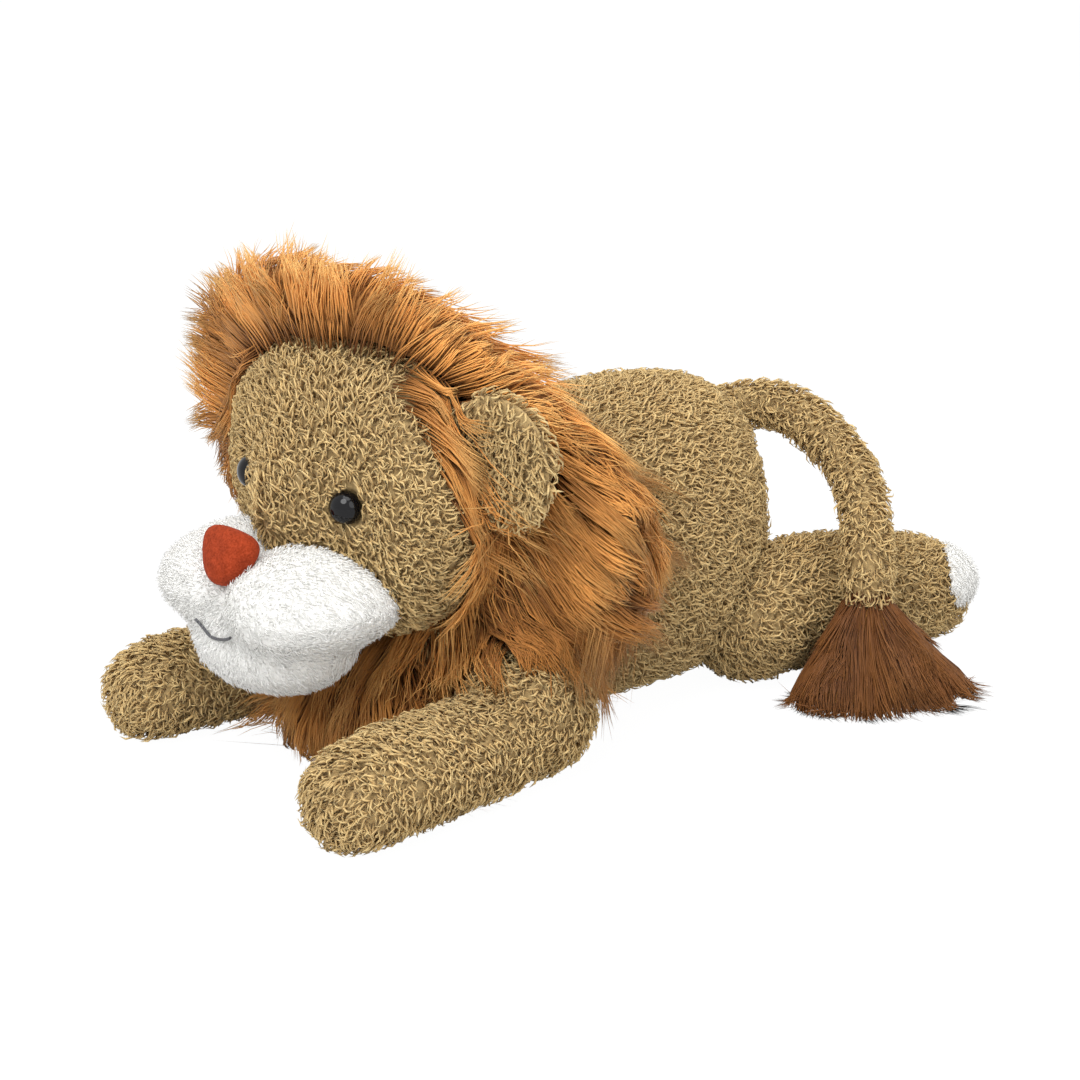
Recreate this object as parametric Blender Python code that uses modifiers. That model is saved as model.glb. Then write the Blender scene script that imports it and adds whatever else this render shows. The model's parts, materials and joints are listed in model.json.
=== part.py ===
"""A plush lion lying on its belly: stuffed body, head, limbs and tail, with a long-pile mane.

Metres, +Z up. The origin is on the flat under the belly, X is across, and the lion faces -Y.
"""

import math

import bmesh
import bpy
from mathutils import Matrix, Vector
from mathutils.bvhtree import BVHTree

# Gaps between sewn pieces, and where a piece turns in its seat
SEAM_GAP = 0.0003
TURN_GAP = 0.0007
FLOOR_CUT = 0.0005
CUTTER_SIZE = 0.6
MERGE_DISTANCE = 0.00001

# Torso: a stuffed sausage that narrows to the neck under the mane
TORSO_FRONT = -0.098
TORSO_LENGTH = 0.184
TORSO_WIDTH = 0.118
TORSO_HEIGHT = 0.123
# along, half width, bottom, top
TORSO_RING_SHARES = (
    (0.00, 0.40, 0.14, 0.46),
    (0.07, 0.62, 0.02, 0.66),
    (0.23, 0.74, 0.00, 0.86),
    (0.42, 0.90, 0.00, 0.98),
    (0.61, 1.00, 0.00, 1.00),
    (0.78, 0.93, 0.00, 1.00),
    (0.90, 0.70, 0.01, 0.95),
    (0.97, 0.46, 0.07, 0.87),
    (1.00, 0.27, 0.16, 0.78),
)
TORSO_SIDES = 14
BELLY_SPREAD_SHARE = 0.25

# Head: wide and rounded, it turns about the neck's upright axis, in a seat in the shoulders
HEAD_PLACE = (0.0, -0.101, 0.105)
NECK_PLACE = (0.0, -0.078, 0.105)
HEAD_WIDTH = 0.130
HEAD_DEPTH = 0.058
HEAD_HEIGHT = 0.106
# height, half width, half depth
HEAD_RING_SHARES = (
    (0.00, 0.34, 0.40),
    (0.08, 0.62, 0.68),
    (0.24, 0.86, 0.90),
    (0.44, 1.00, 1.00),
    (0.62, 1.00, 1.00),
    (0.80, 0.87, 0.90),
    (0.93, 0.62, 0.68),
    (1.00, 0.34, 0.40),
)
HEAD_SIDES = 12
HEAD_FULLNESS_SHARE = 0.8
HEAD_TURN = math.radians(8)
BRIDGE_REACH = 0.016
BRIDGE_WIDTH = 0.019
BRIDGE_HEIGHT = 0.030
BRIDGE_DROP = 0.006

# Muzzle: two white puffs, a chin under them and a velour nose on top
PUFF_PLACE = (0.0215, -0.137, 0.0720)
PUFF_SIZE = (0.058, 0.066, 0.038)
PUFF_TAPER_SHARE = 0.35
CHIN_PLACE = (0.0, -0.140, 0.0540)
CHIN_SIZE = (0.070, 0.054, 0.037)
NOSE_PLACE = (0.0, -0.159, 0.0870)
NOSE_WIDTH = 0.032
NOSE_HEIGHT = 0.0185
NOSE_THICKNESS = 0.012
NOSE_TILT = math.radians(24)
NOSE_TIP_SHARE = 0.30
NOSE_SWELL_SHARE = 1.107
MOUTH_WIDTH = 0.026
MOUTH_RISE = 0.0035
MOUTH_HEIGHT = 0.0585
THREAD_RADIUS = 0.0009

# Safety eyes: a domed head on a stem, held by a washer inside the skin
EYE_PLACE = (0.0288, -0.1275, 0.1065)
EYE_TURN_SHARE = 0.55
EYE_DIAMETER = 0.012
EYE_DOME = 0.0050
EYE_RIM = 0.0008
STEM_DIAMETER = 0.0035
STEM_LENGTH = 0.013
WASHER_DIAMETER = 0.013
WASHER_THICKNESS = 0.0015
WASHER_DEPTH = 0.0045

# Ears: dished discs that fold at the root
EAR_PLACE = (0.0735, -0.096, 0.1275)
EAR_DIAMETER = 0.048
EAR_THICKNESS = 0.014
EAR_DISH = 0.005
EAR_FACING = math.radians(12)
EAR_LEAN = math.radians(10)
EAR_ROOT_SHARE = 0.80
EAR_FOLD = math.radians(12)

# Mane: a thick ring of long pile round the face that runs back over the shoulders
MANE_FRONT = -0.122
MANE_LENGTH = 0.109
MANE_WIDTH = 0.215
MANE_HEIGHT = 0.147
MANE_BOTTOM = 0.042
MANE_HEM = 0.047
MANE_SWEEP = 0.024
MANE_LEAN = 0.004
# How far the left side's widest place hangs down, and how far its upper part is drawn in
# and stands further forward
MANE_SAG = 0.010
MANE_TUCK = 0.015
MANE_FORWARD = 0.012
# How soon, as a share of the length, the right side's rings stop standing forward
MANE_SETTLE = 1.5
# along at the top, along at the sides, along at the bottom, half width, bottom, top
MANE_RING_SHARES = (
    (0.02, 0.25, 0.28, 0.52, 0.18, 0.80),
    (-0.03, 0.26, 0.28, 0.82, 0.08, 0.94),
    (0.10, 0.35, 0.34, 1.00, 0.03, 1.01),
    (0.30, 0.48, 0.48, 1.00, 0.00, 0.90),
    (0.54, 0.62, 0.62, 0.88, 0.00, 0.68),
    (0.78, 0.80, 0.80, 0.66, 0.02, 0.56),
    (0.92, 0.93, 0.92, 0.44, 0.12, 0.50),
)
MANE_SIDES = 12
BIB_FRONT = -0.122
BIB_DEPTH = 0.034
BIB_WIDTH = 0.076
BIB_HEIGHT = 0.046
# along, half width, bottom, top
BIB_RING_SHARES = (
    (0.00, 0.60, 0.00, 0.34),
    (0.20, 0.86, 0.00, 0.62),
    (0.60, 1.00, 0.00, 0.95),
    (1.00, 0.95, 0.00, 1.00),
)
BIB_SIDES = 8

# Forelegs: each swings outwards at a round shoulder
SHOULDER_PLACE = (0.0565, -0.069, 0.0245)
SHOULDER_RADIUS = 0.0250
FORELEG_LENGTH = 0.104
FORELEG_SPLAY = 0.009
FORELEG_WIDTH = 0.046
FORELEG_HEIGHT = 0.038
# along, splay, half width, height
FORELEG_RING_SHARES = (
    (0.00, 0.00, 1.00, 1.00),
    (0.22, 0.28, 0.96, 0.96),
    (0.44, 0.58, 0.97, 0.93),
    (0.66, 0.86, 1.00, 0.96),
    (0.84, 1.00, 0.98, 0.92),
    (0.96, 1.04, 0.76, 0.66),
)
LEG_SIDES = 10
FORELEG_SWING = math.radians(20)

# Hind legs: each lies straight back from a round hip, with a white sole at its end
HIP_INSET = 0.024
HIP_PLACE = (0.0375, TORSO_FRONT + TORSO_LENGTH - HIP_INSET, 0.0275)
HIP_RADIUS = 0.028
HIND_LEG_LENGTH = 0.107
HIND_LEG_SPLAY = 0.0125
HIND_LEG_WIDTH = 0.048
HIND_LEG_HEIGHT = 0.055
# along, splay, half width, height
HIND_LEG_RING_SHARES = (
    (0.00, 0.00, 1.00, 1.00),
    (0.26, 0.50, 1.00, 1.00),
    (0.50, 0.85, 0.98, 0.95),
    (0.72, 1.00, 0.92, 0.86),
    (0.90, 1.05, 0.84, 0.76),
    (0.98, 1.05, 0.60, 0.60),
)
HIND_LEG_IN = math.radians(12)
RIGHT_LEG_SPREAD = math.radians(33)
RIGHT_LEG_IN = math.radians(30)
SOLE_SIZE = (0.034, 0.034, 0.031)
SOLE_PROUD = 0.0035
SOLE_SHIFT = 0.0065
SOLE_RISE = 0.0045

# Tail: a stuffed tube that arches out over the left hip, with a tassel on the floor
TAIL_INSET = 0.009
TAIL_SINK = 0.022
TAIL_END = 0.0365
TAIL_ROOT = (0.0, TORSO_FRONT + TORSO_LENGTH - TAIL_INSET, TORSO_HEIGHT - TAIL_SINK)
TAIL_RADIUS = 0.0090
TAIL_REACH = 0.083
TAIL_BACK = 0.025
TAIL_DROP = TORSO_HEIGHT - TAIL_SINK - TAIL_END
# across, back, down
TAIL_PATH_SHARES = (
    (0.00, 0.00, 0.00),
    (0.10, 0.58, -0.04),
    (0.24, 0.94, -0.01),
    (0.43, 0.99, 0.08),
    (0.63, 0.92, 0.21),
    (0.80, 0.71, 0.36),
    (0.90, 0.48, 0.53),
    (0.96, 0.34, 0.72),
    (0.99, 0.25, 0.90),
    (1.00, 0.22, 1.00),
)
TAIL_SIDES = 8
TAIL_LIFT = math.radians(60)
TASSEL_SHIFT = (0.008, 0.001)
TASSEL_TOP = 0.042
TASSEL_WIDTH = 0.042
TASSEL_SPREAD = 0.078
TASSEL_TURN = math.radians(-24)
# down, shift, half width, half spread
TASSEL_RING_SHARES = (
    (0.00, 0.00, 0.42, 0.24),
    (0.12, 0.05, 0.56, 0.32),
    (0.40, 0.35, 0.72, 0.50),
    (0.72, 0.75, 0.92, 0.84),
    (0.94, 1.00, 1.00, 1.00),
    (1.01, 1.00, 0.86, 0.90),
)
TASSEL_SIDES = 10

BALL_SEGMENTS = 20
SMALL_BALL_SEGMENTS = 16
TURN_STEPS = 16
SWEEP_STEPS = 4
FLAT_ANGLE = math.radians(1)
THREAD_POINTS = 9

# Colours: linear red, green, blue, then roughness
PLUSH_TAN = (0.43, 0.28, 0.14, 0.95)
MANE_GINGER = (0.37, 0.13, 0.03, 0.80)
PLUSH_WHITE = (0.88, 0.87, 0.85, 0.95)
NOSE_RED = (0.58, 0.09, 0.02, 0.85)
THREAD_GREY = (0.08, 0.08, 0.09, 0.80)
EYE_BLACK = (0.005, 0.005, 0.006, 0.08)
WASHER_WHITE = (0.80, 0.80, 0.78, 0.40)

SIDES = {"left": 1, "right": -1}


def clear_scene():
    for old in list(bpy.data.objects):
        bpy.data.objects.remove(old, do_unlink=True)


def new_collection(name):
    made = bpy.data.collections.new(name)
    bpy.context.scene.collection.children.link(made)
    return made


def new_material(name, look):
    red, green, blue, roughness = look
    material = bpy.data.materials.new(name)
    material.use_nodes = True
    shader = material.node_tree.nodes["Principled BSDF"]
    shader.inputs["Base Color"].default_value = (red, green, blue, 1)
    shader.inputs["Roughness"].default_value = roughness
    shader.inputs["Metallic"].default_value = 0
    return material


def object_from(name, mesh, collection):
    made = bpy.data.objects.new(name, mesh)
    collection.objects.link(made)
    return made


def mesh_from(name, build):
    """A new mesh filled by build(bm), shaded smooth."""
    mesh = bpy.data.meshes.new(name)
    bm = bmesh.new()
    build(bm)
    bmesh.ops.recalc_face_normals(bm, faces=bm.faces)
    bm.to_mesh(mesh)
    bm.free()
    mesh.shade_smooth()
    return mesh


def swell(sides):
    """How much larger a cage's ring is than the round form that subdivision leaves."""
    return 6 / (4 + 2 * math.cos(2 * math.pi / sides))


def cage(name, rings, sides, spread=0.0, fullness=1.0):
    """A soft form round a row of rings, each a centre, a half side and a half height vector.

    spread widens the lower half of each ring by that share, as a belly sags, and a fullness
    under 1 squares the ring's corners.
    """

    def build(bm):
        loops = []
        for centre, across, up in rings:
            loop = []
            for i in range(sides):
                turn = 2 * math.pi * (i + 0.5) / sides
                sag = 1 + spread * max(0, -math.sin(turn)) ** 2
                side = math.copysign(abs(math.cos(turn)) ** fullness, math.cos(turn))
                rise = math.copysign(abs(math.sin(turn)) ** fullness, math.sin(turn))
                out = across * side * sag + up * rise
                loop.append(bm.verts.new(centre + swell(sides) * out))
            loops.append(loop)
        skin(bm, loops)

    return subdivided(name, mesh_from(name, build), 1)


def skin(bm, loops):
    """Quads between neighbouring loops of points, and a cap on each end."""
    for first, second in zip(loops, loops[1:]):
        for i in range(len(first)):
            j = (i + 1) % len(first)
            bm.faces.new((first[i], first[j], second[j], second[i]))
    bm.faces.new(loops[0])
    bm.faces.new(loops[-1])


def subdivided(name, mesh, levels):
    """The plain mesh that a Subdivision Surface modifier makes of a cage."""
    rough = bpy.data.objects.new(name, mesh)
    bpy.context.scene.collection.objects.link(rough)
    smooth = rough.modifiers.new("Soft", "SUBSURF")
    smooth.levels = levels
    smooth.render_levels = levels
    made = evaluated_mesh(rough)
    bpy.data.objects.remove(rough, do_unlink=True)
    return in_triangles(made)


def in_triangles(mesh):
    """Splits a form's quads, so that all its copies bend along the same lines."""
    bm = bmesh.new()
    bm.from_mesh(mesh)
    bmesh.ops.triangulate(bm, faces=bm.faces)
    bm.to_mesh(mesh)
    bm.free()
    return mesh


def evaluated_mesh(source):
    graph = bpy.context.evaluated_depsgraph_get()
    return bpy.data.meshes.new_from_object(source.evaluated_get(graph))


def ball(name, place, size, segments):
    """A sphere primitive stretched to size and moved to its place."""

    def build(bm):
        bmesh.ops.create_uvsphere(bm, u_segments=segments, v_segments=segments // 2, radius=0.5)
        bmesh.ops.scale(bm, vec=size, verts=bm.verts)
        bmesh.ops.translate(bm, vec=place, verts=bm.verts)

    return in_triangles(mesh_from(name, build))


def grown(mesh, gap):
    """A copy of a form, moved out along its normals by a gap."""
    made = mesh.copy()
    normals = [v.normal.copy() for v in mesh.vertices]
    for vertex, normal in zip(made.vertices, normals):
        vertex.co += normal * gap
    return made


def turned(mesh, place, axis, angle):
    """A copy of a form, turned about an axis through a place."""
    made = mesh.copy()
    about = Matrix.Translation(place) @ Matrix.Rotation(angle, 4, axis)
    made.transform(about @ Matrix.Translation(-Vector(place)))
    return made


def add_cutter(name, mesh, cutters):
    made = object_from(name, mesh, cutters)
    made.hide_render = True
    made.display_type = "WIRE"
    return made


def boolean(piece, other, operation):
    modifier = piece.modifiers.new(other.name, "BOOLEAN")
    modifier.operation = operation
    modifier.solver = "EXACT"
    modifier.object = other


def cut(piece, meshes, cutters):
    """Takes each form out of the piece."""
    for i, mesh in enumerate(meshes):
        boolean(piece, add_cutter(f"{piece.name}_cut_{i}", mesh, cutters), "DIFFERENCE")


def block(name, low, high):
    """A box between two corners."""
    low = Vector(low)
    high = Vector(high)

    def build(bm):
        bmesh.ops.create_cube(bm, size=1)
        bmesh.ops.scale(bm, vec=high - low, verts=bm.verts)
        bmesh.ops.translate(bm, vec=(low + high) / 2, verts=bm.verts)

    return mesh_from(name, build)


def below(name, height):
    """A box that holds everything under a height."""
    half = CUTTER_SIZE / 2
    return block(name, (-half, -half, height - half), (half, half, height))


def mirrored(mesh):
    """A copy of a form on the lion's other side."""
    made = mesh.copy()
    made.transform(Matrix.Scale(-1, 4, (1, 0, 0)))
    made.flip_normals()
    return made


def on_side(mesh, side):
    return mesh if side > 0 else mirrored(mesh)


def put_side(place, side):
    return Vector((place[0] * side, place[1], place[2]))


def upright_rings(front, length, width, bottom, height, shares):
    """Rings across Y for a form whose shares are along, half width, bottom and top."""
    rings = []
    for along, half, low, high in shares:
        floor = bottom + height * low
        top = bottom + height * high
        centre = Vector((0, front + length * along, (floor + top) / 2))
        rings.append((centre, Vector((half * width / 2, 0, 0)), Vector((0, 0, (top - floor) / 2))))
    return rings


def leg_rings(root, length, splay, width, height, shares):
    """Rings along a leg that lies on the floor, from its root along length's sign of Y."""
    rings = []
    for along, out, half, tall in shares:
        half_height = height * tall / 2
        centre = Vector(
            (root[0] + splay * out, root[1] + length * along, half_height - FLOOR_CUT)
        )
        rings.append((centre, Vector((half * width / 2, 0, 0)), Vector((0, 0, half_height))))
    return rings


def torso_form():
    rings = upright_rings(
        TORSO_FRONT, TORSO_LENGTH, TORSO_WIDTH, -FLOOR_CUT, TORSO_HEIGHT, TORSO_RING_SHARES
    )
    return cage("torso_form", rings, TORSO_SIDES, BELLY_SPREAD_SHARE)


def head_form():
    """Upright rings, with the bridge between the eyes drawn out of the front."""
    bottom = HEAD_PLACE[2] - HEAD_HEIGHT / 2
    rings = []
    for height, half, deep in HEAD_RING_SHARES:
        centre = Vector((HEAD_PLACE[0], HEAD_PLACE[1], bottom + HEAD_HEIGHT * height))
        across = Vector((HEAD_WIDTH / 2 * half, 0, 0))
        rings.append((centre, across, Vector((0, HEAD_DEPTH / 2 * deep, 0))))
    mesh = cage("head_form", rings, HEAD_SIDES, fullness=HEAD_FULLNESS_SHARE)
    for vertex in mesh.vertices:
        across = vertex.co.x / BRIDGE_WIDTH
        up = (vertex.co.z - HEAD_PLACE[2] + BRIDGE_DROP) / BRIDGE_HEIGHT
        front = max(0, (HEAD_PLACE[1] - vertex.co.y) / HEAD_DEPTH * 2)
        vertex.co.y -= BRIDGE_REACH * front * math.exp(-(across**2) - up**2)
    mesh.update()
    return mesh


def puff_form(side):
    """One cheek of the muzzle, drawn in towards its outer end."""
    mesh = ball("puff_form", PUFF_PLACE, PUFF_SIZE, SMALL_BALL_SEGMENTS)
    for vertex in mesh.vertices:
        out = max(0, (vertex.co.x - PUFF_PLACE[0]) / PUFF_SIZE[0] * 2)
        tall = 1 - PUFF_TAPER_SHARE * out**2
        vertex.co.z = PUFF_PLACE[2] + (vertex.co.z - PUFF_PLACE[2]) * tall
    middle = block(
        "puff_middle",
        (-CUTTER_SIZE, -CUTTER_SIZE, -CUTTER_SIZE),
        (SEAM_GAP / 2, CUTTER_SIZE, CUTTER_SIZE),
    )
    half = bpy.data.objects.new("puff_half", mesh)
    other = bpy.data.objects.new("puff_other", middle)
    for helper in (half, other):
        bpy.context.scene.collection.objects.link(helper)
    boolean(half, other, "DIFFERENCE")
    made = evaluated_mesh(half)
    for helper in (half, other):
        bpy.data.objects.remove(helper, do_unlink=True)
    return on_side(in_triangles(made), side)


def chin_form():
    return ball("chin_form", CHIN_PLACE, CHIN_SIZE, SMALL_BALL_SEGMENTS)


def nose_form():
    """A rounded triangle, point down, that tilts back with the muzzle."""
    half = NOSE_WIDTH / 2
    tip = half * NOSE_TIP_SHARE
    top = NOSE_HEIGHT / 2
    outline = ((-half, top), (0, top), (half, top), (tip, -top), (-tip, -top))
    lean = Matrix.Translation(NOSE_PLACE) @ Matrix.Rotation(-NOSE_TILT, 4, "X")

    def build(bm):
        loops = []
        for depth in (-NOSE_THICKNESS / 2, 0, NOSE_THICKNESS / 2):
            loops.append([bm.verts.new(lean @ Vector((x, depth, z))) for x, z in outline])
        skin(bm, loops)
        wider = (NOSE_SWELL_SHARE, 1, NOSE_SWELL_SHARE)
        bmesh.ops.scale(bm, vec=wider, space=lean.inverted(), verts=bm.verts)

    return subdivided("nose_form", mesh_from("nose_form", build), 2)


def ear_form(side):
    """A round ear, dished on the side that faces forward, leaning out from the head."""
    size = (EAR_DIAMETER, EAR_THICKNESS, EAR_DIAMETER)
    mesh = ball("ear_form", (0, 0, 0), size, SMALL_BALL_SEGMENTS)
    for vertex in mesh.vertices:
        near = 1 - (vertex.co.x**2 + vertex.co.z**2) / (EAR_DIAMETER / 2) ** 2
        if vertex.co.y < 0:
            vertex.co.y += EAR_DISH * max(0, near)
    lean = Matrix.Rotation(EAR_LEAN, 4, "Y") @ Matrix.Rotation(EAR_FACING, 4, "Z")
    mesh.transform(Matrix.Translation(EAR_PLACE) @ lean)
    mesh.update()
    return on_side(mesh, side)


def ear_root():
    """Where the left ear's fold is: on the ear's inner side, at the head."""
    inward = EAR_ROOT_SHARE * EAR_DIAMETER / 2
    return Vector(
        (
            EAR_PLACE[0] - inward * math.cos(EAR_FACING),
            EAR_PLACE[1] - inward * math.sin(EAR_FACING),
            EAR_PLACE[2],
        )
    )


def mane_form():
    """Rings round the face, further forward at the top and on the right, where they stand out.

    Behind the right ear the rings stand less far forward, so that the ear stays covered.
    """
    loops = []
    for at_top, at_side, at_bottom, half, low, high in MANE_RING_SHARES:
        floor = MANE_BOTTOM + MANE_HEIGHT * low
        top = MANE_BOTTOM + MANE_HEIGHT * high
        loop = []
        for i in range(MANE_SIDES):
            turn = 2 * math.pi * i / MANE_SIDES
            rise = math.sin(turn)
            side = math.cos(turn)
            end = at_top if rise > 0 else at_bottom
            along = at_side + (end - at_side) * rise**2
            left = max(side, 0)
            upper = left * max(rise, 0)
            reach = swell(MANE_SIDES) * MANE_WIDTH / 2 * side - MANE_TUCK * upper
            right = max(-side, 0) * max(1 - MANE_SETTLE * along, 0)
            swept_back = MANE_SWEEP * (left - right) - MANE_FORWARD * upper
            height = swell(MANE_SIDES) * (top - floor) / 2 * rise
            loop.append(
                Vector(
                    (
                        half * (reach - MANE_LEAN),
                        MANE_FRONT + MANE_LENGTH * along + half * swept_back,
                        (floor + top) / 2 + height - MANE_SAG * half * left,
                    )
                )
            )
        loops.append(loop)

    def build(bm):
        skin(bm, [[bm.verts.new(point) for point in loop] for loop in loops])

    return subdivided("mane_form", mesh_from("mane_form", build), 1)


def bib_form():
    rings = upright_rings(
        BIB_FRONT, BIB_DEPTH, BIB_WIDTH, -FLOOR_CUT, BIB_HEIGHT, BIB_RING_SHARES
    )
    return cage("bib_form", rings, BIB_SIDES)


def foreleg_form():
    rings = leg_rings(
        SHOULDER_PLACE,
        -FORELEG_LENGTH,
        FORELEG_SPLAY,
        FORELEG_WIDTH,
        FORELEG_HEIGHT,
        FORELEG_RING_SHARES,
    )
    return cage("foreleg_form", rings, LEG_SIDES)


def hind_leg_form():
    rings = leg_rings(
        HIP_PLACE,
        HIND_LEG_LENGTH,
        HIND_LEG_SPLAY,
        HIND_LEG_WIDTH,
        HIND_LEG_HEIGHT,
        HIND_LEG_RING_SHARES,
    )
    return cage("hind_leg_form", rings, LEG_SIDES)


def joint_ball(name, place, radius, gap):
    """The round root of a limb, or its seat when a gap is added."""
    size = 2 * (radius + gap)
    return ball(name, place, (size, size, size), BALL_SEGMENTS)


def tail_points():
    root = Vector(TAIL_ROOT)
    return [
        root + Vector((TAIL_REACH * across, TAIL_BACK * back, -TAIL_DROP * down))
        for across, back, down in TAIL_PATH_SHARES
    ]


def tail_form():
    points = tail_points()
    rings = []
    for i, point in enumerate(points):
        ahead = points[min(i + 1, len(points) - 1)] - points[max(i - 1, 0)]
        across = ahead.cross(Vector((0, 1, 0))).normalized()
        up = across.cross(ahead).normalized()
        rings.append((point, across * TAIL_RADIUS, up * TAIL_RADIUS))
    return cage("tail_form", rings, TAIL_SIDES)


def tassel_form():
    """Long pile that spreads from the tail's end to the floor."""
    end = tail_points()[-1]
    rings = []
    for down, shift, half, spread in TASSEL_RING_SHARES:
        centre = Vector(
            (
                end.x + TASSEL_SHIFT[0] * shift,
                end.y + TASSEL_SHIFT[1] * shift,
                TASSEL_TOP * (1 - down),
            )
        )
        fan = Matrix.Rotation(TASSEL_TURN, 3, "Z")
        across = fan @ Vector((TASSEL_WIDTH / 2 * half, 0, 0))
        rings.append((centre, across, fan @ Vector((0, TASSEL_SPREAD / 2 * spread, 0))))
    return cage("tassel_form", rings, TASSEL_SIDES)


def eye_aim(side):
    """The eye's place and the way it looks: less to the side than the head's face there."""
    place = put_side(EYE_PLACE, side)
    aim = place - Vector(HEAD_PLACE)
    aim.x *= EYE_TURN_SHARE
    return place, aim.normalized()


def turned_solid(name, profile, place, aim, collection):
    """A Screw of a profile of (radius, height) points, top to bottom, set along aim."""
    mesh = bpy.data.meshes.new(name)
    points = [(radius, 0, height) for radius, height in profile]
    mesh.from_pydata(points, [(i, i + 1) for i in range(len(points) - 1)], [])
    made = object_from(name, mesh, collection)
    screw = made.modifiers.new("Turn", "SCREW")
    screw.steps = TURN_STEPS
    screw.render_steps = TURN_STEPS
    screw.use_merge_vertices = True
    screw.merge_threshold = MERGE_DISTANCE
    screw.use_smooth_shade = True
    made.location = place
    made.rotation_euler = aim.to_track_quat("Z", "Y").to_euler()
    return made


def eye_profile():
    """Dome, rim and stem, from the middle of the dome to the middle of the stem's end."""
    radius = EYE_DIAMETER / 2
    turns = [math.pi / 2 * i / 4 for i in range(5)]
    dome = [(radius * math.sin(t), EYE_DOME * math.cos(t)) for t in turns]
    stem = STEM_DIAMETER / 2
    return dome + [
        (radius, -EYE_RIM),
        (stem, -EYE_RIM),
        (stem, -EYE_RIM - STEM_LENGTH),
        (0, -EYE_RIM - STEM_LENGTH),
    ]


def washer_profile():
    """A flat ring on the stem; the profile is closed."""
    outer = WASHER_DIAMETER / 2
    inner = STEM_DIAMETER / 2 + SEAM_GAP
    top = -EYE_RIM - WASHER_DEPTH
    bottom = top - WASHER_THICKNESS
    return [(inner, top), (outer, top), (outer, bottom), (inner, bottom), (inner, top)]


def eye_seat_profile():
    """The stem's hole and the washer's pocket in the head, with their gaps."""
    hole = STEM_DIAMETER / 2 + SEAM_GAP
    pocket = WASHER_DIAMETER / 2 + SEAM_GAP
    seat = EYE_DIAMETER / 2 + SEAM_GAP
    top = -EYE_RIM - WASHER_DEPTH + SEAM_GAP
    bottom = top - WASHER_THICKNESS - 2 * SEAM_GAP
    end = -EYE_RIM - STEM_LENGTH - SEAM_GAP
    return [
        (0, EYE_DIAMETER),
        (seat, EYE_DIAMETER),
        (seat, -EYE_RIM - SEAM_GAP),
        (hole, -EYE_RIM - SEAM_GAP),
        (hole, top),
        (pocket, top),
        (pocket, bottom),
        (hole, bottom),
        (hole, end),
        (0, end),
    ]


def mouth_points(surfaces):
    """A shallow smile that lies on the front of the muzzle."""
    trees = [BVHTree.FromPolygons(*polygons_of(mesh)) for mesh in surfaces]
    start_y = HEAD_PLACE[1] - 2 * HEAD_DEPTH
    points = []
    for i in range(THREAD_POINTS):
        share = 2 * i / (THREAD_POINTS - 1) - 1
        x = MOUTH_WIDTH / 2 * share
        z = MOUTH_HEIGHT + MOUTH_RISE * share**2
        starts = [
            Vector((x + THREAD_RADIUS * side, start_y, z + THREAD_RADIUS * up))
            for side in (-1, 0, 1)
            for up in (-1, 0, 1)
        ]
        hits = [tree.ray_cast(start, Vector((0, 1, 0)))[0] for tree in trees for start in starts]
        front = min(hit.y for hit in hits if hit)
        points.append((x, front - THREAD_RADIUS - SEAM_GAP, z))
    return points


def polygons_of(mesh):
    return [v.co.copy() for v in mesh.vertices], [tuple(p.vertices) for p in mesh.polygons]


def thread(name, points, collection):
    """A round thread along the points, as a mesh with closed ends."""
    curve = bpy.data.curves.new(name, "CURVE")
    curve.dimensions = "3D"
    curve.bevel_depth = THREAD_RADIUS
    curve.bevel_resolution = 1
    curve.use_fill_caps = True
    line = curve.splines.new("POLY")
    line.points.add(len(points) - 1)
    for point, place in zip(line.points, points):
        point.co = (*place, 1)
    helper = bpy.data.objects.new(name + "_line", curve)
    bpy.context.scene.collection.objects.link(helper)
    mesh = evaluated_mesh(helper)
    bpy.data.objects.remove(helper, do_unlink=True)
    bm = bmesh.new()
    bm.from_mesh(mesh)
    bmesh.ops.remove_doubles(bm, verts=bm.verts, dist=MERGE_DISTANCE)
    bmesh.ops.recalc_face_normals(bm, faces=bm.faces)
    bm.to_mesh(mesh)
    bm.free()
    return object_from(name, mesh, collection)


def add_piece(name, mesh, material, origin, lion):
    """A named piece with its origin on its joint, and its own material."""
    mesh = mesh.copy()
    mesh.transform(Matrix.Translation(-Vector(origin)))
    made = object_from(name, mesh, lion)
    made.location = origin
    made.data.materials.clear()
    made.data.materials.append(new_material(name, material))
    return made


def swept(mesh, place, most, gap, end=CUTTER_SIZE):
    """The round space that a form fills while it turns about Z, by most to either side.

    Only the part of the form in front of end counts.
    """
    wide = grown(mesh, gap)
    angles = steps_between(-most, most, most / SWEEP_STEPS)
    spots = [v.co for angle in angles for v in turned(wide, place, "Z", angle).vertices]

    def build(bm):
        made = [bm.verts.new(spot) for spot in spots if spot.y < end]
        hull = bmesh.ops.convex_hull(bm, input=made)
        inner = [v for v in hull["geom_interior"] if isinstance(v, bmesh.types.BMVert)]
        bmesh.ops.delete(bm, geom=inner, context="VERTS")
        bmesh.ops.dissolve_limit(
            bm, angle_limit=FLAT_ANGLE, verts=bm.verts, edges=bm.edges
        )
        bmesh.ops.triangulate(bm, faces=bm.faces)

    return mesh_from(f"{mesh.name}_sweep", build)


def turned_away(mesh, place, axis, angles, gap):
    """A larger piece as a smaller one meets it while the smaller one turns by the angles."""
    wide = grown(mesh, gap)
    return [turned(wide, place, axis, -angle) for angle in angles]


def steps_between(low, high, step):
    """Angles from low to high, both in, no further apart than step."""
    count = max(1, round((high - low) / step))
    return [low + (high - low) * i / count for i in range(count + 1)]


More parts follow.
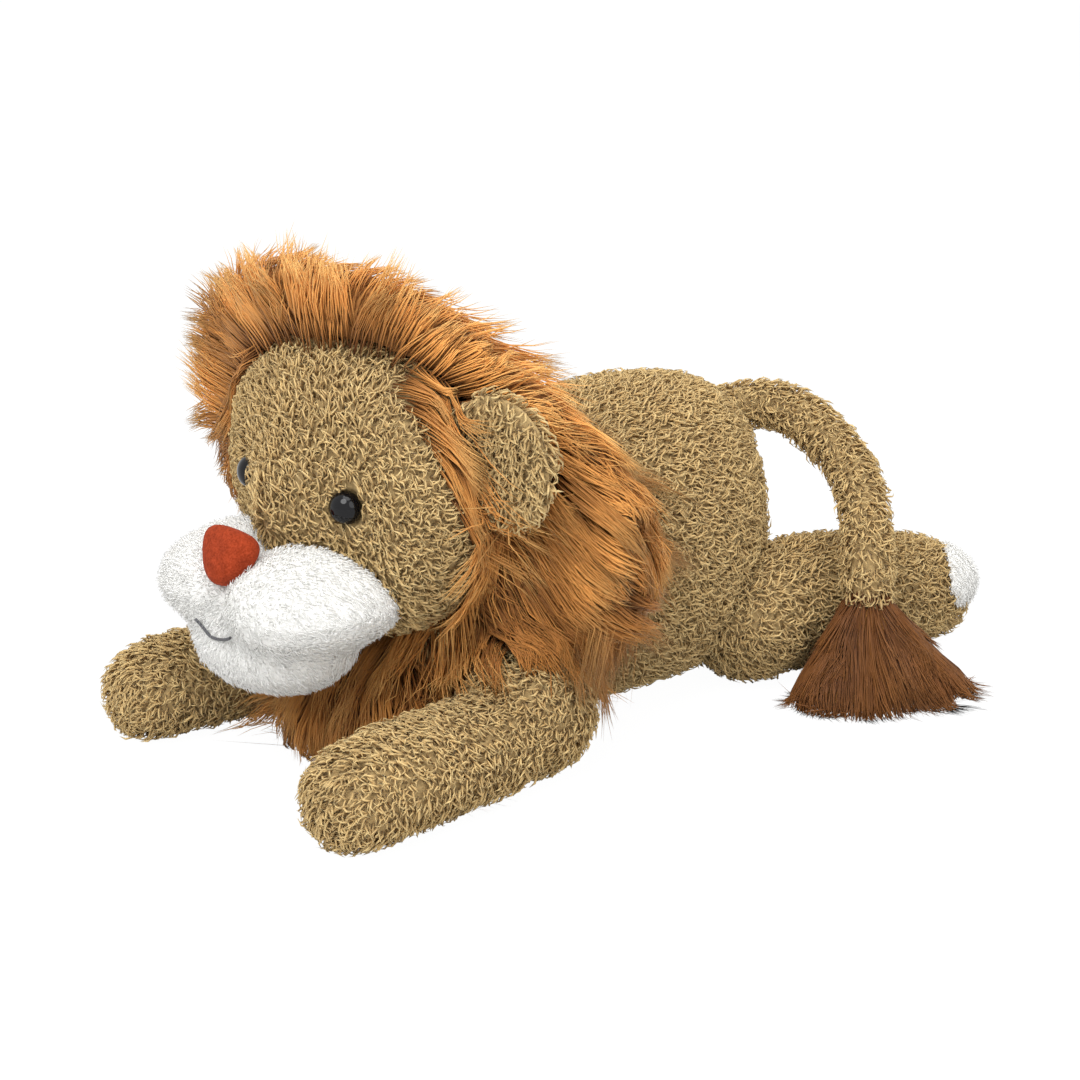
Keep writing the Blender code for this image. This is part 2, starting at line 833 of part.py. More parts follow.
def build_torso(forms, lion, cutters):
    torso = add_piece("torso", forms["torso"], PLUSH_TAN, (0, 0, 0), lion)
    seats = [swept(forms["head"], NECK_PLACE, HEAD_TURN, TURN_GAP)]
    for side in SIDES.values():
        shoulder = put_side(SHOULDER_PLACE, side)
        seats.append(joint_ball("shoulder_seat", shoulder, SHOULDER_RADIUS, TURN_GAP))
        seats.append(joint_ball("hip_seat", put_side(HIP_PLACE, side), HIP_RADIUS, TURN_GAP))
    seats.append(joint_ball("tail_seat", TAIL_ROOT, TAIL_RADIUS, TURN_GAP))
    seats.append(below("floor", 0))
    cut(torso, seats, cutters)


def hang(piece, empty):
    """Parents a piece to an empty and leaves it where it is."""
    piece.parent = empty
    piece.location = piece.location - empty.location


def build_head(forms, neck, lion, cutters):
    head = add_piece("head", forms["head"], PLUSH_TAN, NECK_PLACE, lion)
    for name, side in SIDES.items():
        place, aim = eye_aim(side)
        seat = turned_solid(f"eye_seat_{name}", eye_seat_profile(), place, aim, cutters)
        seat.hide_render = True
        seat.display_type = "WIRE"
        boolean(head, seat, "DIFFERENCE")
        eye = turned_solid(f"eye_{name}", eye_profile(), place, aim, lion)
        eye.data.materials.append(new_material(eye.name, EYE_BLACK))
        washer = turned_solid(f"eye_washer_{name}", washer_profile(), place, aim, lion)
        washer.data.materials.append(new_material(washer.name, WASHER_WHITE))
        for fitted in (eye, washer):
            hang(fitted, neck)


def build_muzzle(forms, neck, lion, cutters):
    head = grown(forms["head"], SEAM_GAP)
    puffs = []
    for name, side in SIDES.items():
        puff = add_piece(f"muzzle_{name}", forms[f"puff_{name}"], PLUSH_WHITE, NECK_PLACE, lion)
        cut(puff, [head], cutters)
        puffs.append(grown(forms[f"puff_{name}"], SEAM_GAP))
    chin = add_piece("chin", forms["chin"], PLUSH_WHITE, NECK_PLACE, lion)
    cut(chin, [head] + puffs, cutters)
    nose = add_piece("nose", forms["nose"], NOSE_RED, NECK_PLACE, lion)
    cut(nose, [head] + puffs, cutters)
    surfaces = [forms["puff_left"], forms["puff_right"], forms["chin"]]
    stitch = thread("mouth_stitch", mouth_points(surfaces), lion)
    stitch.data.materials.append(new_material("mouth_stitch", THREAD_GREY))
    hang(stitch, neck)


def build_ears(forms, lion, cutters):
    folds = steps_between(-EAR_FOLD, EAR_FOLD, EAR_FOLD)
    for name, side in SIDES.items():
        root = put_side(ear_root(), side)
        ear = add_piece(f"ear_{name}", forms[f"ear_{name}"], PLUSH_TAN, root, lion)
        cut(ear, turned_away(forms["head"], root, "Z", folds, SEAM_GAP), cutters)


def build_mane(forms, lion, cutters):
    crown = add_piece("mane_crown", forms["mane"], MANE_GINGER, NECK_PLACE, lion)
    away = [grown(forms["head"], SEAM_GAP), below("hem", MANE_HEM)]
    back = MANE_FRONT + MANE_LENGTH + 3 * MANE_SWEEP
    away.append(swept(forms["torso"], NECK_PLACE, HEAD_TURN, SEAM_GAP, back))
    for name, side in SIDES.items():
        shoulder = joint_ball("shoulder", put_side(SHOULDER_PLACE, side), SHOULDER_RADIUS, 0)
        away.append(swept(shoulder, NECK_PLACE, HEAD_TURN, TURN_GAP))
        root = put_side(ear_root(), side)
        away.append(swept(forms[f"ear_{name}"], root, EAR_FOLD, SEAM_GAP))
    cut(crown, away, cutters)

    bib = add_piece("mane_bib", forms["bib"], MANE_GINGER, (0, 0, 0), lion)
    away = [grown(forms["torso"], SEAM_GAP)]
    away += [swept(forms[name], NECK_PLACE, HEAD_TURN, TURN_GAP) for name in ("head", "chin")]
    away += [grown(forms[f"foreleg_{name}"], SEAM_GAP) for name in SIDES]
    away.append(below("floor", 0))
    cut(bib, away, cutters)


def build_legs(forms, lion, cutters):
    """Legs with round roots, each clear of the torso over its whole swing."""
    for name, side in SIDES.items():
        swings = steps_between(0, FORELEG_SWING * side, FORELEG_SWING / 2)
        shoulder = put_side(SHOULDER_PLACE, side)
        leg = add_piece(f"foreleg_{name}", forms[f"foreleg_{name}"], PLUSH_TAN, shoulder, lion)
        fit_leg(leg, forms["torso"], shoulder, SHOULDER_RADIUS, swings, cutters)

        swings = steps_between(0, HIND_LEG_IN, HIND_LEG_IN / 2)
        if side < 0:
            swings = steps_between(-RIGHT_LEG_IN, 0, HIND_LEG_IN / 2)
        hip = put_side(HIP_PLACE, side)
        leg = add_piece(f"hind_leg_{name}", forms[f"hind_leg_{name}"], PLUSH_TAN, hip, lion)
        fit_leg(leg, forms["torso"], hip, HIP_RADIUS, swings, cutters)
        sole = add_piece(f"sole_{name}", forms[f"sole_{name}"], PLUSH_WHITE, hip, lion)
        cut(sole, [grown(forms[f"hind_leg_{name}"], SEAM_GAP), below("floor", 0)], cutters)


def fit_leg(leg, torso, root, radius, swings, cutters):
    cut(leg, turned_away(torso, root, "Z", swings, SEAM_GAP), cutters)
    ball_root = add_cutter(f"{leg.name}_root", joint_ball("root", root, radius, 0), cutters)
    boolean(leg, ball_root, "UNION")
    floor = add_cutter(f"{leg.name}_floor", below("floor", 0), cutters)
    boolean(leg, floor, "DIFFERENCE")


def build_tail(forms, lion, cutters):
    lifts = steps_between(0, TAIL_LIFT, TAIL_LIFT / 4)
    tail = add_piece("tail", forms["tail"], PLUSH_TAN, TAIL_ROOT, lion)
    cut(tail, turned_away(forms["torso"], TAIL_ROOT, (0, -1, 0), lifts, SEAM_GAP), cutters)
    root = add_cutter("tail_root", joint_ball("root", TAIL_ROOT, TAIL_RADIUS, 0), cutters)
    boolean(tail, root, "UNION")
    tassel = add_piece("tail_tassel", forms["tassel"], MANE_GINGER, TAIL_ROOT, lion)
    away = [grown(forms["tail"], SEAM_GAP), below("floor", 0)]
    hip = joint_ball("hip_room", HIP_PLACE, HIP_RADIUS, TURN_GAP)
    cut(tassel, away + [grown(forms["hind_leg_left"], TURN_GAP), hip], cutters)


def sole_form(side):
    """The white pad on the end of a foot; the foot takes its buried part."""
    shares = HIND_LEG_RING_SHARES[-1]
    end = HIP_PLACE[1] + HIND_LEG_LENGTH * shares[0] + SOLE_PROUD
    height = HIND_LEG_HEIGHT * HIND_LEG_RING_SHARES[-2][3] / 2 + SOLE_RISE
    across = HIP_PLACE[0] + HIND_LEG_SPLAY * shares[1] + SOLE_SHIFT
    place = (across, end - SOLE_SIZE[1] / 2, height)
    return on_side(ball("sole_form", place, SOLE_SIZE, SMALL_BALL_SEGMENTS), side)


def main():
    clear_scene()
    lion = new_collection("plush_lion")
    cutters = new_collection("cutters")
    forms = {
        "torso": torso_form(),
        "head": head_form(),
        "chin": chin_form(),
        "nose": nose_form(),
        "mane": mane_form(),
        "bib": bib_form(),
        "tail": tail_form(),
        "tassel": tassel_form(),
    }
    for name, side in SIDES.items():
        forms[f"puff_{name}"] = puff_form(side)
        forms[f"ear_{name}"] = ear_form(side)
        forms[f"foreleg_{name}"] = on_side(foreleg_form(), side)
        hip = put_side(HIP_PLACE, side)
        spread = 0 if side > 0 else RIGHT_LEG_SPREAD
        forms[f"hind_leg_{name}"] = turned(on_side(hind_leg_form(), side), hip, "Z", spread)
        forms[f"sole_{name}"] = turned(sole_form(side), hip, "Z", spread)
    neck = object_from("neck_axis", None, lion)
    neck.location = NECK_PLACE
    build_torso(forms, lion, cutters)
    build_head(forms, neck, lion, cutters)
    build_muzzle(forms, neck, lion, cutters)
    build_ears(forms, lion, cutters)
    build_mane(forms, lion, cutters)
    build_legs(forms, lion, cutters)
    build_tail(forms, lion, cutters)


main()
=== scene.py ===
"""The look of the plush lion: curly tan pile, a long-pile mane, white muzzle, velour nose.

Metres, +Z up. The lion faces -Y, and its left side is at +X.
"""

import json
import math
from contextlib import contextmanager

import bmesh
import bpy
import numpy as np
from bpy.props import FloatProperty, FloatVectorProperty, IntProperty, PointerProperty
from mathutils import Matrix, Vector
from mathutils.bvhtree import BVHTree

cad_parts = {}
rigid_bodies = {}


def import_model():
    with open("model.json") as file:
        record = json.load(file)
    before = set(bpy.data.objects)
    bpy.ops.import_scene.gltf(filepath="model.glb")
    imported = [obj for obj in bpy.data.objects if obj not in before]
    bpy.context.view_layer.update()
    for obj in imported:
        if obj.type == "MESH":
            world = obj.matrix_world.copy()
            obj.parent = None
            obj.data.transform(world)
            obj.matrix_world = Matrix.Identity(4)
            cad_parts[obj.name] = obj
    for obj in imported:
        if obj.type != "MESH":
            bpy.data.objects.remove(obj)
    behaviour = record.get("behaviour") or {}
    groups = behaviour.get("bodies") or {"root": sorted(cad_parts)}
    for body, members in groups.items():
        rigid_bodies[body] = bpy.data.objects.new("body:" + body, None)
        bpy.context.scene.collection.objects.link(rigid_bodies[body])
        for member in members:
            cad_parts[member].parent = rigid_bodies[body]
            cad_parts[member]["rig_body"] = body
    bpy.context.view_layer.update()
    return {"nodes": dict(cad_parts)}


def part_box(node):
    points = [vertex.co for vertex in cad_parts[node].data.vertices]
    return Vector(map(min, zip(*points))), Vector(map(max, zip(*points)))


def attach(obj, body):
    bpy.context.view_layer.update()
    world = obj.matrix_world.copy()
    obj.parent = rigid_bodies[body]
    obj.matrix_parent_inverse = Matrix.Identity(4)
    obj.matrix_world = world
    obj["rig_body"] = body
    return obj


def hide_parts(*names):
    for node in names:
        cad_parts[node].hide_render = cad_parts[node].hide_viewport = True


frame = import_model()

bl_info = {
    "name": "Plush Lion",
    "version": (1, 0, 0),
    "blender": (4, 5, 0),
    "location": "3D Viewport > Sidebar > Plush Lion",
    "description": "Makes a plush lion with sewn limbs, pile and a mane round its own frame",
    "category": "Object",
}

MM = 0.001
MERGED = MM / 100
TINY = 1e-9

# Camera and stage
CAMERA_TARGET = (-0.0045, -0.012, 0.062)
CAMERA_BACK = (0.7286, -0.6113, 0.3090)
CAMERA_DISTANCE = 0.95
CAMERA_LENS = 80.75
SENSOR_WIDTH = 36
FLOOR_COLOUR = (0.72, 0.72, 0.72, 1)
FLOOR_WHITE_SHARE = 0.92
FLOOR_WHITE = 1.06
WORLD_LIGHT = 0.62
# Each lamp's place, width and watts
LAMPS = {
    "key_light": ((0.55, -1.25, 1.45), 1.1, 19),
    "top_light": ((0.35, -0.25, 1.80), 1.4, 15),
    "fill_light": ((1.6, -0.1, 0.9), 1.3, 7),
    "back_light": ((-0.7, 1.2, 1.3), 1.2, 6),
}

HEAD_CENTRE = Vector((0, -0.101, 0.105))
EYE_PLACE = (0.0288, -0.1275, 0.1065)
SIDES = {"left": 1, "right": -1}

# Height and depth of the line where the mane begins before each ear
HAIRLINE = ((0.089, -0.098), (0.106, -0.1053), (0.120, -0.1096), (0.136, -0.1123), (0.150, -0.1140))
HAIRLINE_BESIDE = 0.034
HAIRLINE_ABOVE = 0.086

# Where the torso's pile, the head's pile and the mane's hair are parted
BELLY_TOP = 0.035
FACE_BACK = -0.092
MANE_TOP_FROM = 0.140
MANE_HEM_TO = 0.090

# The pile keeps this far from its neighbours, the eyes and the floor
TAN_REACH = 1.2 * MM
WHITE_REACH = 1.4 * MM
EAR_REACH = 3 * MM
BARE_ROUND_EYE = 8 * MM
RESTING_HEIGHT = 1.2 * MM
RESTING_SLOPE = -0.7
ON_FORM = 4 * MM

# The smile, across X, and its thread
MOUTH_MIDDLE = 1 * MM
MOUTH_HALF = 12 * MM
MOUTH_HEIGHT = 0.0595
MOUTH_RISE = 3.5 * MM
MOUTH_POINTS = 13
THREAD_RADIUS = 0.55 * MM
THREAD_PROUD = (1.5, 0.8)
BEFORE_FACE = -0.25

# An eye's rim and stem, and how far it stands out
EYE_PROUD = 1.4 * MM
EYE_RIM = -0.8 * MM
EYE_STEM_RADIUS = 1.75 * MM
EYE_STEM_END = -13.8 * MM
EYE_TURN = 0.55
EYE_STEPS = 12
EYE_SEGMENTS = 40

TASSEL_TOP = (0.083, 0.083, 0.070)
TASSEL_ABOVE = 0.048

# Each kind of strand: its lean, curl and twist in degrees, and its share of the length
TUFT_KINDS = (
    (25, 70, 150, 1.0),
    (38, 50, -160, 0.95),
    (15, 100, 110, 1.15),
    (45, 40, -110, 0.9),
    (30, 80, 190, 1.1),
    (20, 110, -60, 1.0),
    (40, 60, 60, 0.9),
)
NAP_KINDS = ((46, 26, 20, 1.0), (56, 16, -30, 0.9), (38, 34, 50, 1.05), (62, 14, -10, 0.85))
STRAND_SIDES = 3

# The way in which the tan pile of each form is brushed
BRUSHED = {
    "ear": (0.5, 0, -0.7),
    "foreleg": (0, -0.9, -0.5),
    "tail": (0.5, 0, -0.9),
    "torso": (0, 0.8, -0.7),
    "hind": (0, 0.8, -0.7),
}

# A line out of a closed form, and the most faces that it is followed through
OUTWARDS = Vector((0.31, -0.27, 0.91)).normalized()
MOST_CROSSINGS = 40

SHARED = {}


def body_of(name):
    """The CAD body that a node belongs to."""
    return frame["nodes"][name]["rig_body"]


def looks():
    return bpy.context.scene.plush_lion


def shared(make, name, *values):
    """A material or a tree, made the first time and found again by its name."""
    if name not in SHARED:
        SHARED[name] = make(name, *values)
    return SHARED[name]


# Nodes


def put(tree, socket, value):
    if isinstance(value, bpy.types.NodeSocket):
        tree.links.new(value, socket)
    else:
        socket.default_value = value


def node(tree, kind, inputs=None, **settings):
    """Adds a node with its settings, and puts a link or a value into each named input."""
    made = tree.nodes.new(kind)
    for key, value in settings.items():
        setattr(made, key, value)
    for name, value in (inputs or {}).items():
        put(tree, next(s for s in made.inputs if s.enabled and s.name == name), value)
    return made


def out(made, name=None):
    """The named output of a node, or its first one in use."""
    return next(s for s in made.outputs if s.enabled and (name is None or s.name == name))


def maths(tree, operation, *values):
    made = node(tree, "ShaderNodeMath", operation=operation)
    for socket, value in zip(made.inputs, values):
        put(tree, socket, value)
    return made.outputs[0]


def times(tree, first, *others):
    for other in others:
        first = maths(tree, "MULTIPLY", first, other)
    return first


def vectors(tree, operation, *values):
    made = node(tree, "ShaderNodeVectorMath", operation=operation)
    for socket, value in zip(made.inputs, values):
        put(tree, socket, value)
    return made.outputs["Value" if operation == "LENGTH" else "Vector"]


def total(tree, first, *others):
    for other in others:
        first = vectors(tree, "ADD", first, other)
    return first


def scaled(tree, vector, scale):
    made = node(tree, "ShaderNodeVectorMath", operation="SCALE")
    put(tree, made.inputs[0], vector)
    put(tree, made.inputs["Scale"], scale)
    return made.outputs[0]


def split(tree, vector):
    return node(tree, "ShaderNodeSeparateXYZ", {"Vector": vector}).outputs


def joined(tree, **axes):
    return node(tree, "ShaderNodeCombineXYZ", axes).outputs[0]


def noise(tree, place, scale, detail=2.0):
    return node(tree, "ShaderNodeTexNoise", {"Vector": place, "Scale": scale, "Detail": detail})


def ramp(tree, value, stops):
    made = tree.nodes.new("ShaderNodeValToRGB")
    tree.links.new(value, made.inputs[0])
    band = made.color_ramp
    while len(band.elements) < len(stops):
        band.elements.new(1.0)
    for element, (place, colour) in zip(band.elements, stops):
        element.position = place
        element.color = (*colour, 1)
    return made.outputs["Color"]


def multiplied(tree, first, second):
    """Two colours multiplied."""
    inputs = {"Factor": 1.0, "A": first, "B": second}
    return out(node(tree, "ShaderNodeMix", inputs, data_type="RGBA", blend_type="MULTIPLY"))


# Materials


def new_material(name):
    material = bpy.data.materials.new(name)
    material.use_nodes = True
    tree = material.node_tree
    return material, tree, tree.nodes["Principled BSDF"]


def object_place(tree):
    return tree.nodes.new("ShaderNodeTexCoord").outputs["Object"]


def dress(tree, shader, colour, roughness, bump=None, specular=0.5, sheen=(0.0, 0.5)):
    """Sets a shader's colour, roughness, gloss and sheen, and its bump of a height in metres."""
    values = {
        "Base Color": colour,
        "Roughness": roughness,
        "Specular IOR Level": specular,
        "Sheen Weight": sheen[0],
        "Sheen Roughness": sheen[1],
    }
    if bump:
        inputs = dict(zip(("Height", "Distance", "Strength"), bump))
        values["Normal"] = node(tree, "ShaderNodeBump", inputs).outputs[0]
    for name, value in values.items():
        put(tree, shader.inputs[name], value)


def pile_material(name, colours, least_shade, roughness, sheen):
    """Pile whose colour runs from its root to its tip, and differs from strand to strand."""
    material, tree, shader = new_material(name)
    place = split(tree, node(tree, "ShaderNodeUVMap", uv_map="OFBake").outputs[0])
    along = ramp(tree, place["Y"], list(zip((0.0, 0.45, 1.0), colours)))
    least = tuple(least_shade**power for power in (1.0, 1.15, 1.3))
    half = tuple((1 + value) / 2 for value in least)
    shade = ramp(tree, place["X"], [(0.0, least), (0.5, half), (1.0, (1.0, 1.0, 1.0))])
    colour = multiplied(tree, along, shade)
    dress(tree, shader, colour, roughness, specular=0.3, sheen=(sheen, 0.5))
    return material


def backing_material(name, dark, light, scale):
    """The cloth under a pile, mottled at the scale of its tufts. On the tan pile the dark mottle is
    painted shade between the tufts.
    """
    material, tree, shader = new_material(name)
    spots = noise(tree, object_place(tree), scale, 3.0).outputs[0]
    colour = ramp(tree, spots, [(0.3, dark), (0.7, light)])
    dress(tree, shader, colour, 0.95, (spots, 0.6 * MM, 0.6))
    return material


def velour_material(name, colour):
    """Short velour: a fine grain with a soft sheen."""
    material, tree, shader = new_material(name)
    grain = noise(tree, object_place(tree), 1500.0, 4.0).outputs[0]
    patch = noise(tree, object_place(tree), 420.0, 3.0).outputs[0]
    dark = tuple(0.72 * c for c in colour)
    light = tuple(min(1.0, 1.15 * c + 0.01) for c in colour)
    fine = ramp(tree, grain, [(0.32, dark), (0.68, light)])
    broad = ramp(tree, patch, [(0.35, (0.74, 0.72, 0.70)), (0.65, (1, 1, 1))])
    colour = multiplied(tree, fine, broad)
    dress(tree, shader, colour, 0.9, (grain, 0.3 * MM, 0.5), 0.15, (0.02, 0.4))
    return material


def moulded_material(name, colour, roughness, scale, specular):
    """Moulded plastic with the faint unevenness of its mould."""
    material, tree, shader = new_material(name)
    uneven = noise(tree, object_place(tree), scale).outputs[0]
    dark = tuple(0.85 * c for c in colour)
    shaded = ramp(tree, uneven, [(0.3, dark), (0.7, colour)])
    dress(tree, shader, shaded, roughness, (uneven, 0.05 * MM, 0.2), specular)
    return material


def thread_material(name, colour):
    """Twisted thread: dark and light bands that wind round it."""
    material, tree, shader = new_material(name)
    inputs = {"Vector": object_place(tree), "Rotation": (0, 0.7, 0)}
    turn = node(tree, "ShaderNodeMapping", inputs).outputs[0]
    inputs = {"Vector": turn, "Scale": 380.0, "Distortion": 1.5, "Detail": 2.0}
    bands = node(tree, "ShaderNodeTexWave", inputs).outputs[0]
    dark = tuple(0.35 * c for c in colour)
    shaded = ramp(tree, bands, [(0.2, dark), (0.8, colour)])
    dress(tree, shader, shaded, 0.8, (bands, 0.2 * MM, 0.8))
    return material


def tan_pile():
    look = looks().pile
    colours = (look.root_colour, look.middle_colour, look.tip_colour)
    return shared(pile_material, "curly_tan_pile", colours, 0.62, 0.85, 0.05)


def ginger_pile():
    look = looks().mane
    colours = (look.root_colour, look.middle_colour, look.tip_colour)
    return shared(pile_material, "long_ginger_pile", colours, 0.42, 0.55, 0.02)


def white_pile():
    white = Vector(looks().muzzle.white_colour)
    colours = (tuple(white * 0.97), tuple(white), tuple(white))
    return shared(pile_material, "white_plush", colours, 0.97, 0.9, 0.2)


def backing(name, dark, dark_share, light, light_share, scale):
    dark = tuple(Vector(dark) * dark_share)
    light = tuple(Vector(light) * light_share)
    return shared(backing_material, name, dark, light, scale)


def tan_cloth_and_shade():
    look = looks().pile
    # Darkened below the pile's own colours and mottled: painted shade between the tufts, over the
    # tan cloth.
    return backing("tan_backing_cloth", look.root_colour, 0.8, look.middle_colour, 0.7, 500.0)


def ginger_backing():
    look = looks().mane
    return backing("ginger_backing_cloth", look.root_colour, 1.0, look.middle_colour, 0.45, 900.0)


def white_backing():
    white = looks().muzzle.white_colour
    return backing("white_backing_cloth", white, 0.86, white, 0.97, 1200.0)


# Meshes


def linked(name, mesh):
    made = bpy.data.objects.new(name, mesh)
    bpy.context.scene.collection.objects.link(made)
    return made


def remove(made):
    bpy.data.objects.remove(made, do_unlink=True)


def frozen(helper):
    """The plain mesh of a helper object, which is then removed."""
    graph = bpy.context.evaluated_depsgraph_get()
    mesh = bpy.data.meshes.new_from_object(helper.evaluated_get(graph))
    remove(helper)
    return mesh


@contextmanager
def editing(mesh):
    """The mesh as a bmesh, which is written back at the end."""
    bm = bmesh.new()
    bm.from_mesh(mesh)
    yield bm
    bm.to_mesh(mesh)
    bm.free()


def mend(mesh):
    """Merges doubles and turns the faces outwards."""
    with editing(mesh) as bm:
        bmesh.ops.remove_doubles(bm, verts=bm.verts, dist=MERGED)
        bmesh.ops.recalc_face_normals(bm, faces=bm.faces)


def cad_mesh(name):
    """A merged copy of a CAD node's mesh."""
    mesh = frame["nodes"][name].data.copy()
    mend(mesh)
    for layer in list(mesh.uv_layers):
        mesh.uv_layers.remove(layer)
    mesh.materials.clear()
    return mesh


def soft_skin(name, source, voxel, rounds, inset, filled=0.0):
    """A finely meshed, rounded copy of a mesh, drawn in by an inset.

    Grooves narrower than twice the filled depth close up.
    """
    if filled:
        points, normals = vertex_arrays(source)
        source.vertices.foreach_set("co", (points + normals * filled).ravel())
    helper = linked(name, source)
    remesh = helper.modifiers.new("Fine", "REMESH")
    remesh.mode = "VOXEL"
    remesh.voxel_size = voxel
    mesh = frozen(helper)
    with editing(mesh) as bm:
        for _ in range(rounds):
            bmesh.ops.smooth_vert(
                bm, verts=bm.verts, factor=0.5, use_axis_x=True, use_axis_y=True, use_axis_z=True
            )
        bm.normal_update()
        for vertex in bm.verts:
            vertex.co -= vertex.normal * (inset + filled)
    mesh.shade_smooth()
    mesh.name = name
    return mesh


def hair_form(name, nodes, voxel, rounds, inset, filled=0.0):
    """One rounded surface over several CAD nodes."""
    bm = bmesh.new()
    for source in nodes:
        bm.from_mesh(cad_mesh(source))
    mesh = bpy.data.meshes.new(name)
    bm.to_mesh(mesh)
    bm.free()
    return soft_skin(name, mesh, voxel, rounds, inset, filled)


def part_of(mesh, name, keep):
    """The faces of a mesh whose centres pass a test, with the mesh's attributes."""
    made = mesh.copy()
    made.name = name
    with editing(made) as bm:
        gone = [f for f in bm.faces if not keep(f.calc_center_median())]
        bmesh.ops.delete(bm, geom=gone, context="FACES")
    return made


def everywhere(centre):
    return True


def search_tree(mesh):
    points = [v.co.copy() for v in mesh.vertices]
    return BVHTree.FromPolygons(points, [tuple(p.vertices) for p in mesh.polygons])


def tree_of(name):
    """A search tree of a CAD node's faces."""
    return search_tree(frame["nodes"][name].data)


def inside(tree, point):
    """Whether a point lies in a closed mesh: a line out of it then crosses an odd count of faces."""
    count = 0
    place = tree.ray_cast(point, OUTWARDS)[0]
    while place is not None and count < MOST_CROSSINGS:
        count += 1
        place = tree.ray_cast(place + OUTWARDS * MM / 1000, OUTWARDS)[0]
    return count % 2 == 1


def in_box(corners, point):
    low, high = corners
    return all(low[i] <= point[i] <= high[i] for i in range(3))


def vertex_arrays(mesh):
    points = np.zeros(len(mesh.vertices) * 3)
    mesh.vertices.foreach_get("co", points)
    normals = np.zeros(len(mesh.vertices) * 3)
    mesh.vertices.foreach_get("normal", normals)
    return points.reshape(-1, 3), normals.reshape(-1, 3)


def put_attributes(mesh, **named):
    """Stores a number or a vector for each vertex under each name."""
    for name, values in named.items():
        values = np.asarray(values, np.float32)
        kind, key = ("FLOAT_VECTOR", "vector") if values.ndim == 2 else ("FLOAT", "value")
        made = mesh.attributes.new(name, kind, "POINT")
        made.data.foreach_set(key, values.ravel())


def bare_where_covered(mesh, nodes, reach):
    """1 where pile can grow, 0 where the floor or a node within its reach covers the skin."""
    trees = [(tree_of(name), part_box(name)) for name in nodes]
    points, normals = vertex_arrays(mesh)
    free = np.ones(len(points))
    for i, (point, normal) in enumerate(zip(points, normals)):
        if point[2] < RESTING_HEIGHT and normal[2] < RESTING_SLOPE:
            free[i] = 0
        ahead = Vector(point) + Vector(normal) * reach
        for tree, corners in trees:
            if free[i] and in_box(corners, ahead) and inside(tree, ahead):
                free[i] = 0
    return free


def gaps_to(mesh, names):
    """How far each vertex lies from each of the CAD nodes."""
    trees = [tree_of(name) for name in names]
    points, _ = vertex_arrays(mesh)
    return np.array([[tree.find_nearest(Vector(p))[3] for tree in trees] for p in points])


def room_ahead(points, ways, tree, most, steps=8):
    """How far each point can be brushed its way before it leaves a solid's skin."""
    step = most / steps
    places = points.copy()
    room = np.zeros(len(points))
    live = np.ones(len(points), bool)
    for _ in range(steps):
        for i in np.nonzero(live)[0]:
            near, normal, _, gap = tree.find_nearest(Vector(places[i] + ways[i] * step))
            live[i] = gap < ON_FORM
            if live[i]:
                places[i] = near
                room[i] += step
    return room


# Strands and turned forms


def circle(count):
    turns = [2 * math.pi * i / count for i in range(count)]
    return [(math.cos(turn), math.sin(turn)) for turn in turns]


def join_rings(bm, rings, count):
    """Faces between rings of vertices. A ring of one vertex is a tip."""
    for first, second in zip(rings, rings[1:]):
        for i in range(count):
            j = (i + 1) % count
            corners = [(first, i), (first, j), (second, j), (second, i)]
            corners = dict.fromkeys(ring[k % len(ring)] for ring, k in corners)
            if len(corners) > 2:
                bm.faces.new(list(corners))


def strand_mesh(name, path, radii):
    """A closed strand along a path of points, ending in a tip, with its own UV map."""
    mesh = bpy.data.meshes.new(name)
    last = len(path) - 1
    with editing(mesh) as bm:
        layer = bm.loops.layers.uv.new("OFBake")
        along = bm.verts.layers.float.new("along")
        rings = []
        for i, (place, radius) in enumerate(zip(path, radii)):
            ahead = (path[min(i + 1, last)] - path[max(i - 1, 0)]).normalized()
            side = Vector((0, 1, 0))
            up = ahead.cross(side).normalized()
            places = [place + (side * x + up * y) * radius for x, y in circle(STRAND_SIDES)]
            rings.append([bm.verts.new(p) for p in ([place] if i == last else places)])
            for vertex in rings[-1]:
                vertex[along] = i / last
        join_rings(bm, rings, STRAND_SIDES)
        bm.faces.new(list(reversed(rings[0])))
        bmesh.ops.recalc_face_normals(bm, faces=bm.faces)
        for face in bm.faces:
            for loop in face.loops:
                loop[layer].uv = (0.5, loop.vert[along])
        bmesh.ops.triangulate(bm, faces=bm.faces)
    mesh.shade_smooth()
    return mesh


def turned_mesh(name, profile, segments):
    """A closed solid turned from (radius, height) points, from its top to its bottom."""
    mesh = bpy.data.meshes.new(name)
    with editing(mesh) as bm:
        rings = []
        for radius, height in profile:
            places = [(0, 0, height)]
            if radius > TINY:
                places = [(radius * x, radius * y, height) for x, y in circle(segments)]
            rings.append([bm.verts.new(place) for place in places])
        join_rings(bm, rings, segments)
        bmesh.ops.recalc_face_normals(bm, faces=bm.faces)
    mesh.shade_smooth()
    return mesh


def curled_path(length, steps, lean, curl, twist):
    """Points of a strand that leans over from the normal, curls down and turns sideways."""
    place = Vector((0, 0, 0))
    path = [place.copy()]
    for i in range(steps):
        share = (i + 0.5) / steps
        angle = lean + curl * share
        way = twist * (share - 0.3)
        flat = math.sin(angle)
        ahead = Vector((flat * math.cos(way), flat * math.sin(way), math.cos(angle)))
        place += ahead * (length / steps)
        path.append(place.copy())
    return path


def tuft_collection(name, length, width, steps, kinds):
    """A few unlike strands that a pile picks from."""
    made = bpy.data.collections.new(name)
    shares = [0.75] + [1.0 - 0.45 * k / steps for k in range(1, steps)] + [0.0]
    radii = [width / 2 * share for share in shares]
    for i, (*turns, long) in enumerate(kinds):
        path = curled_path(length * long, steps, *map(math.radians, turns))
        mesh = strand_mesh(f"{name}_{i}", path, radii)
        made.objects.link(bpy.data.objects.new(f"{name}_{i}", mesh))
    return made


def remove_collection(made):
    for old in list(made.objects):
        remove(old)
    bpy.data.collections.remove(made)


# Geometry Nodes


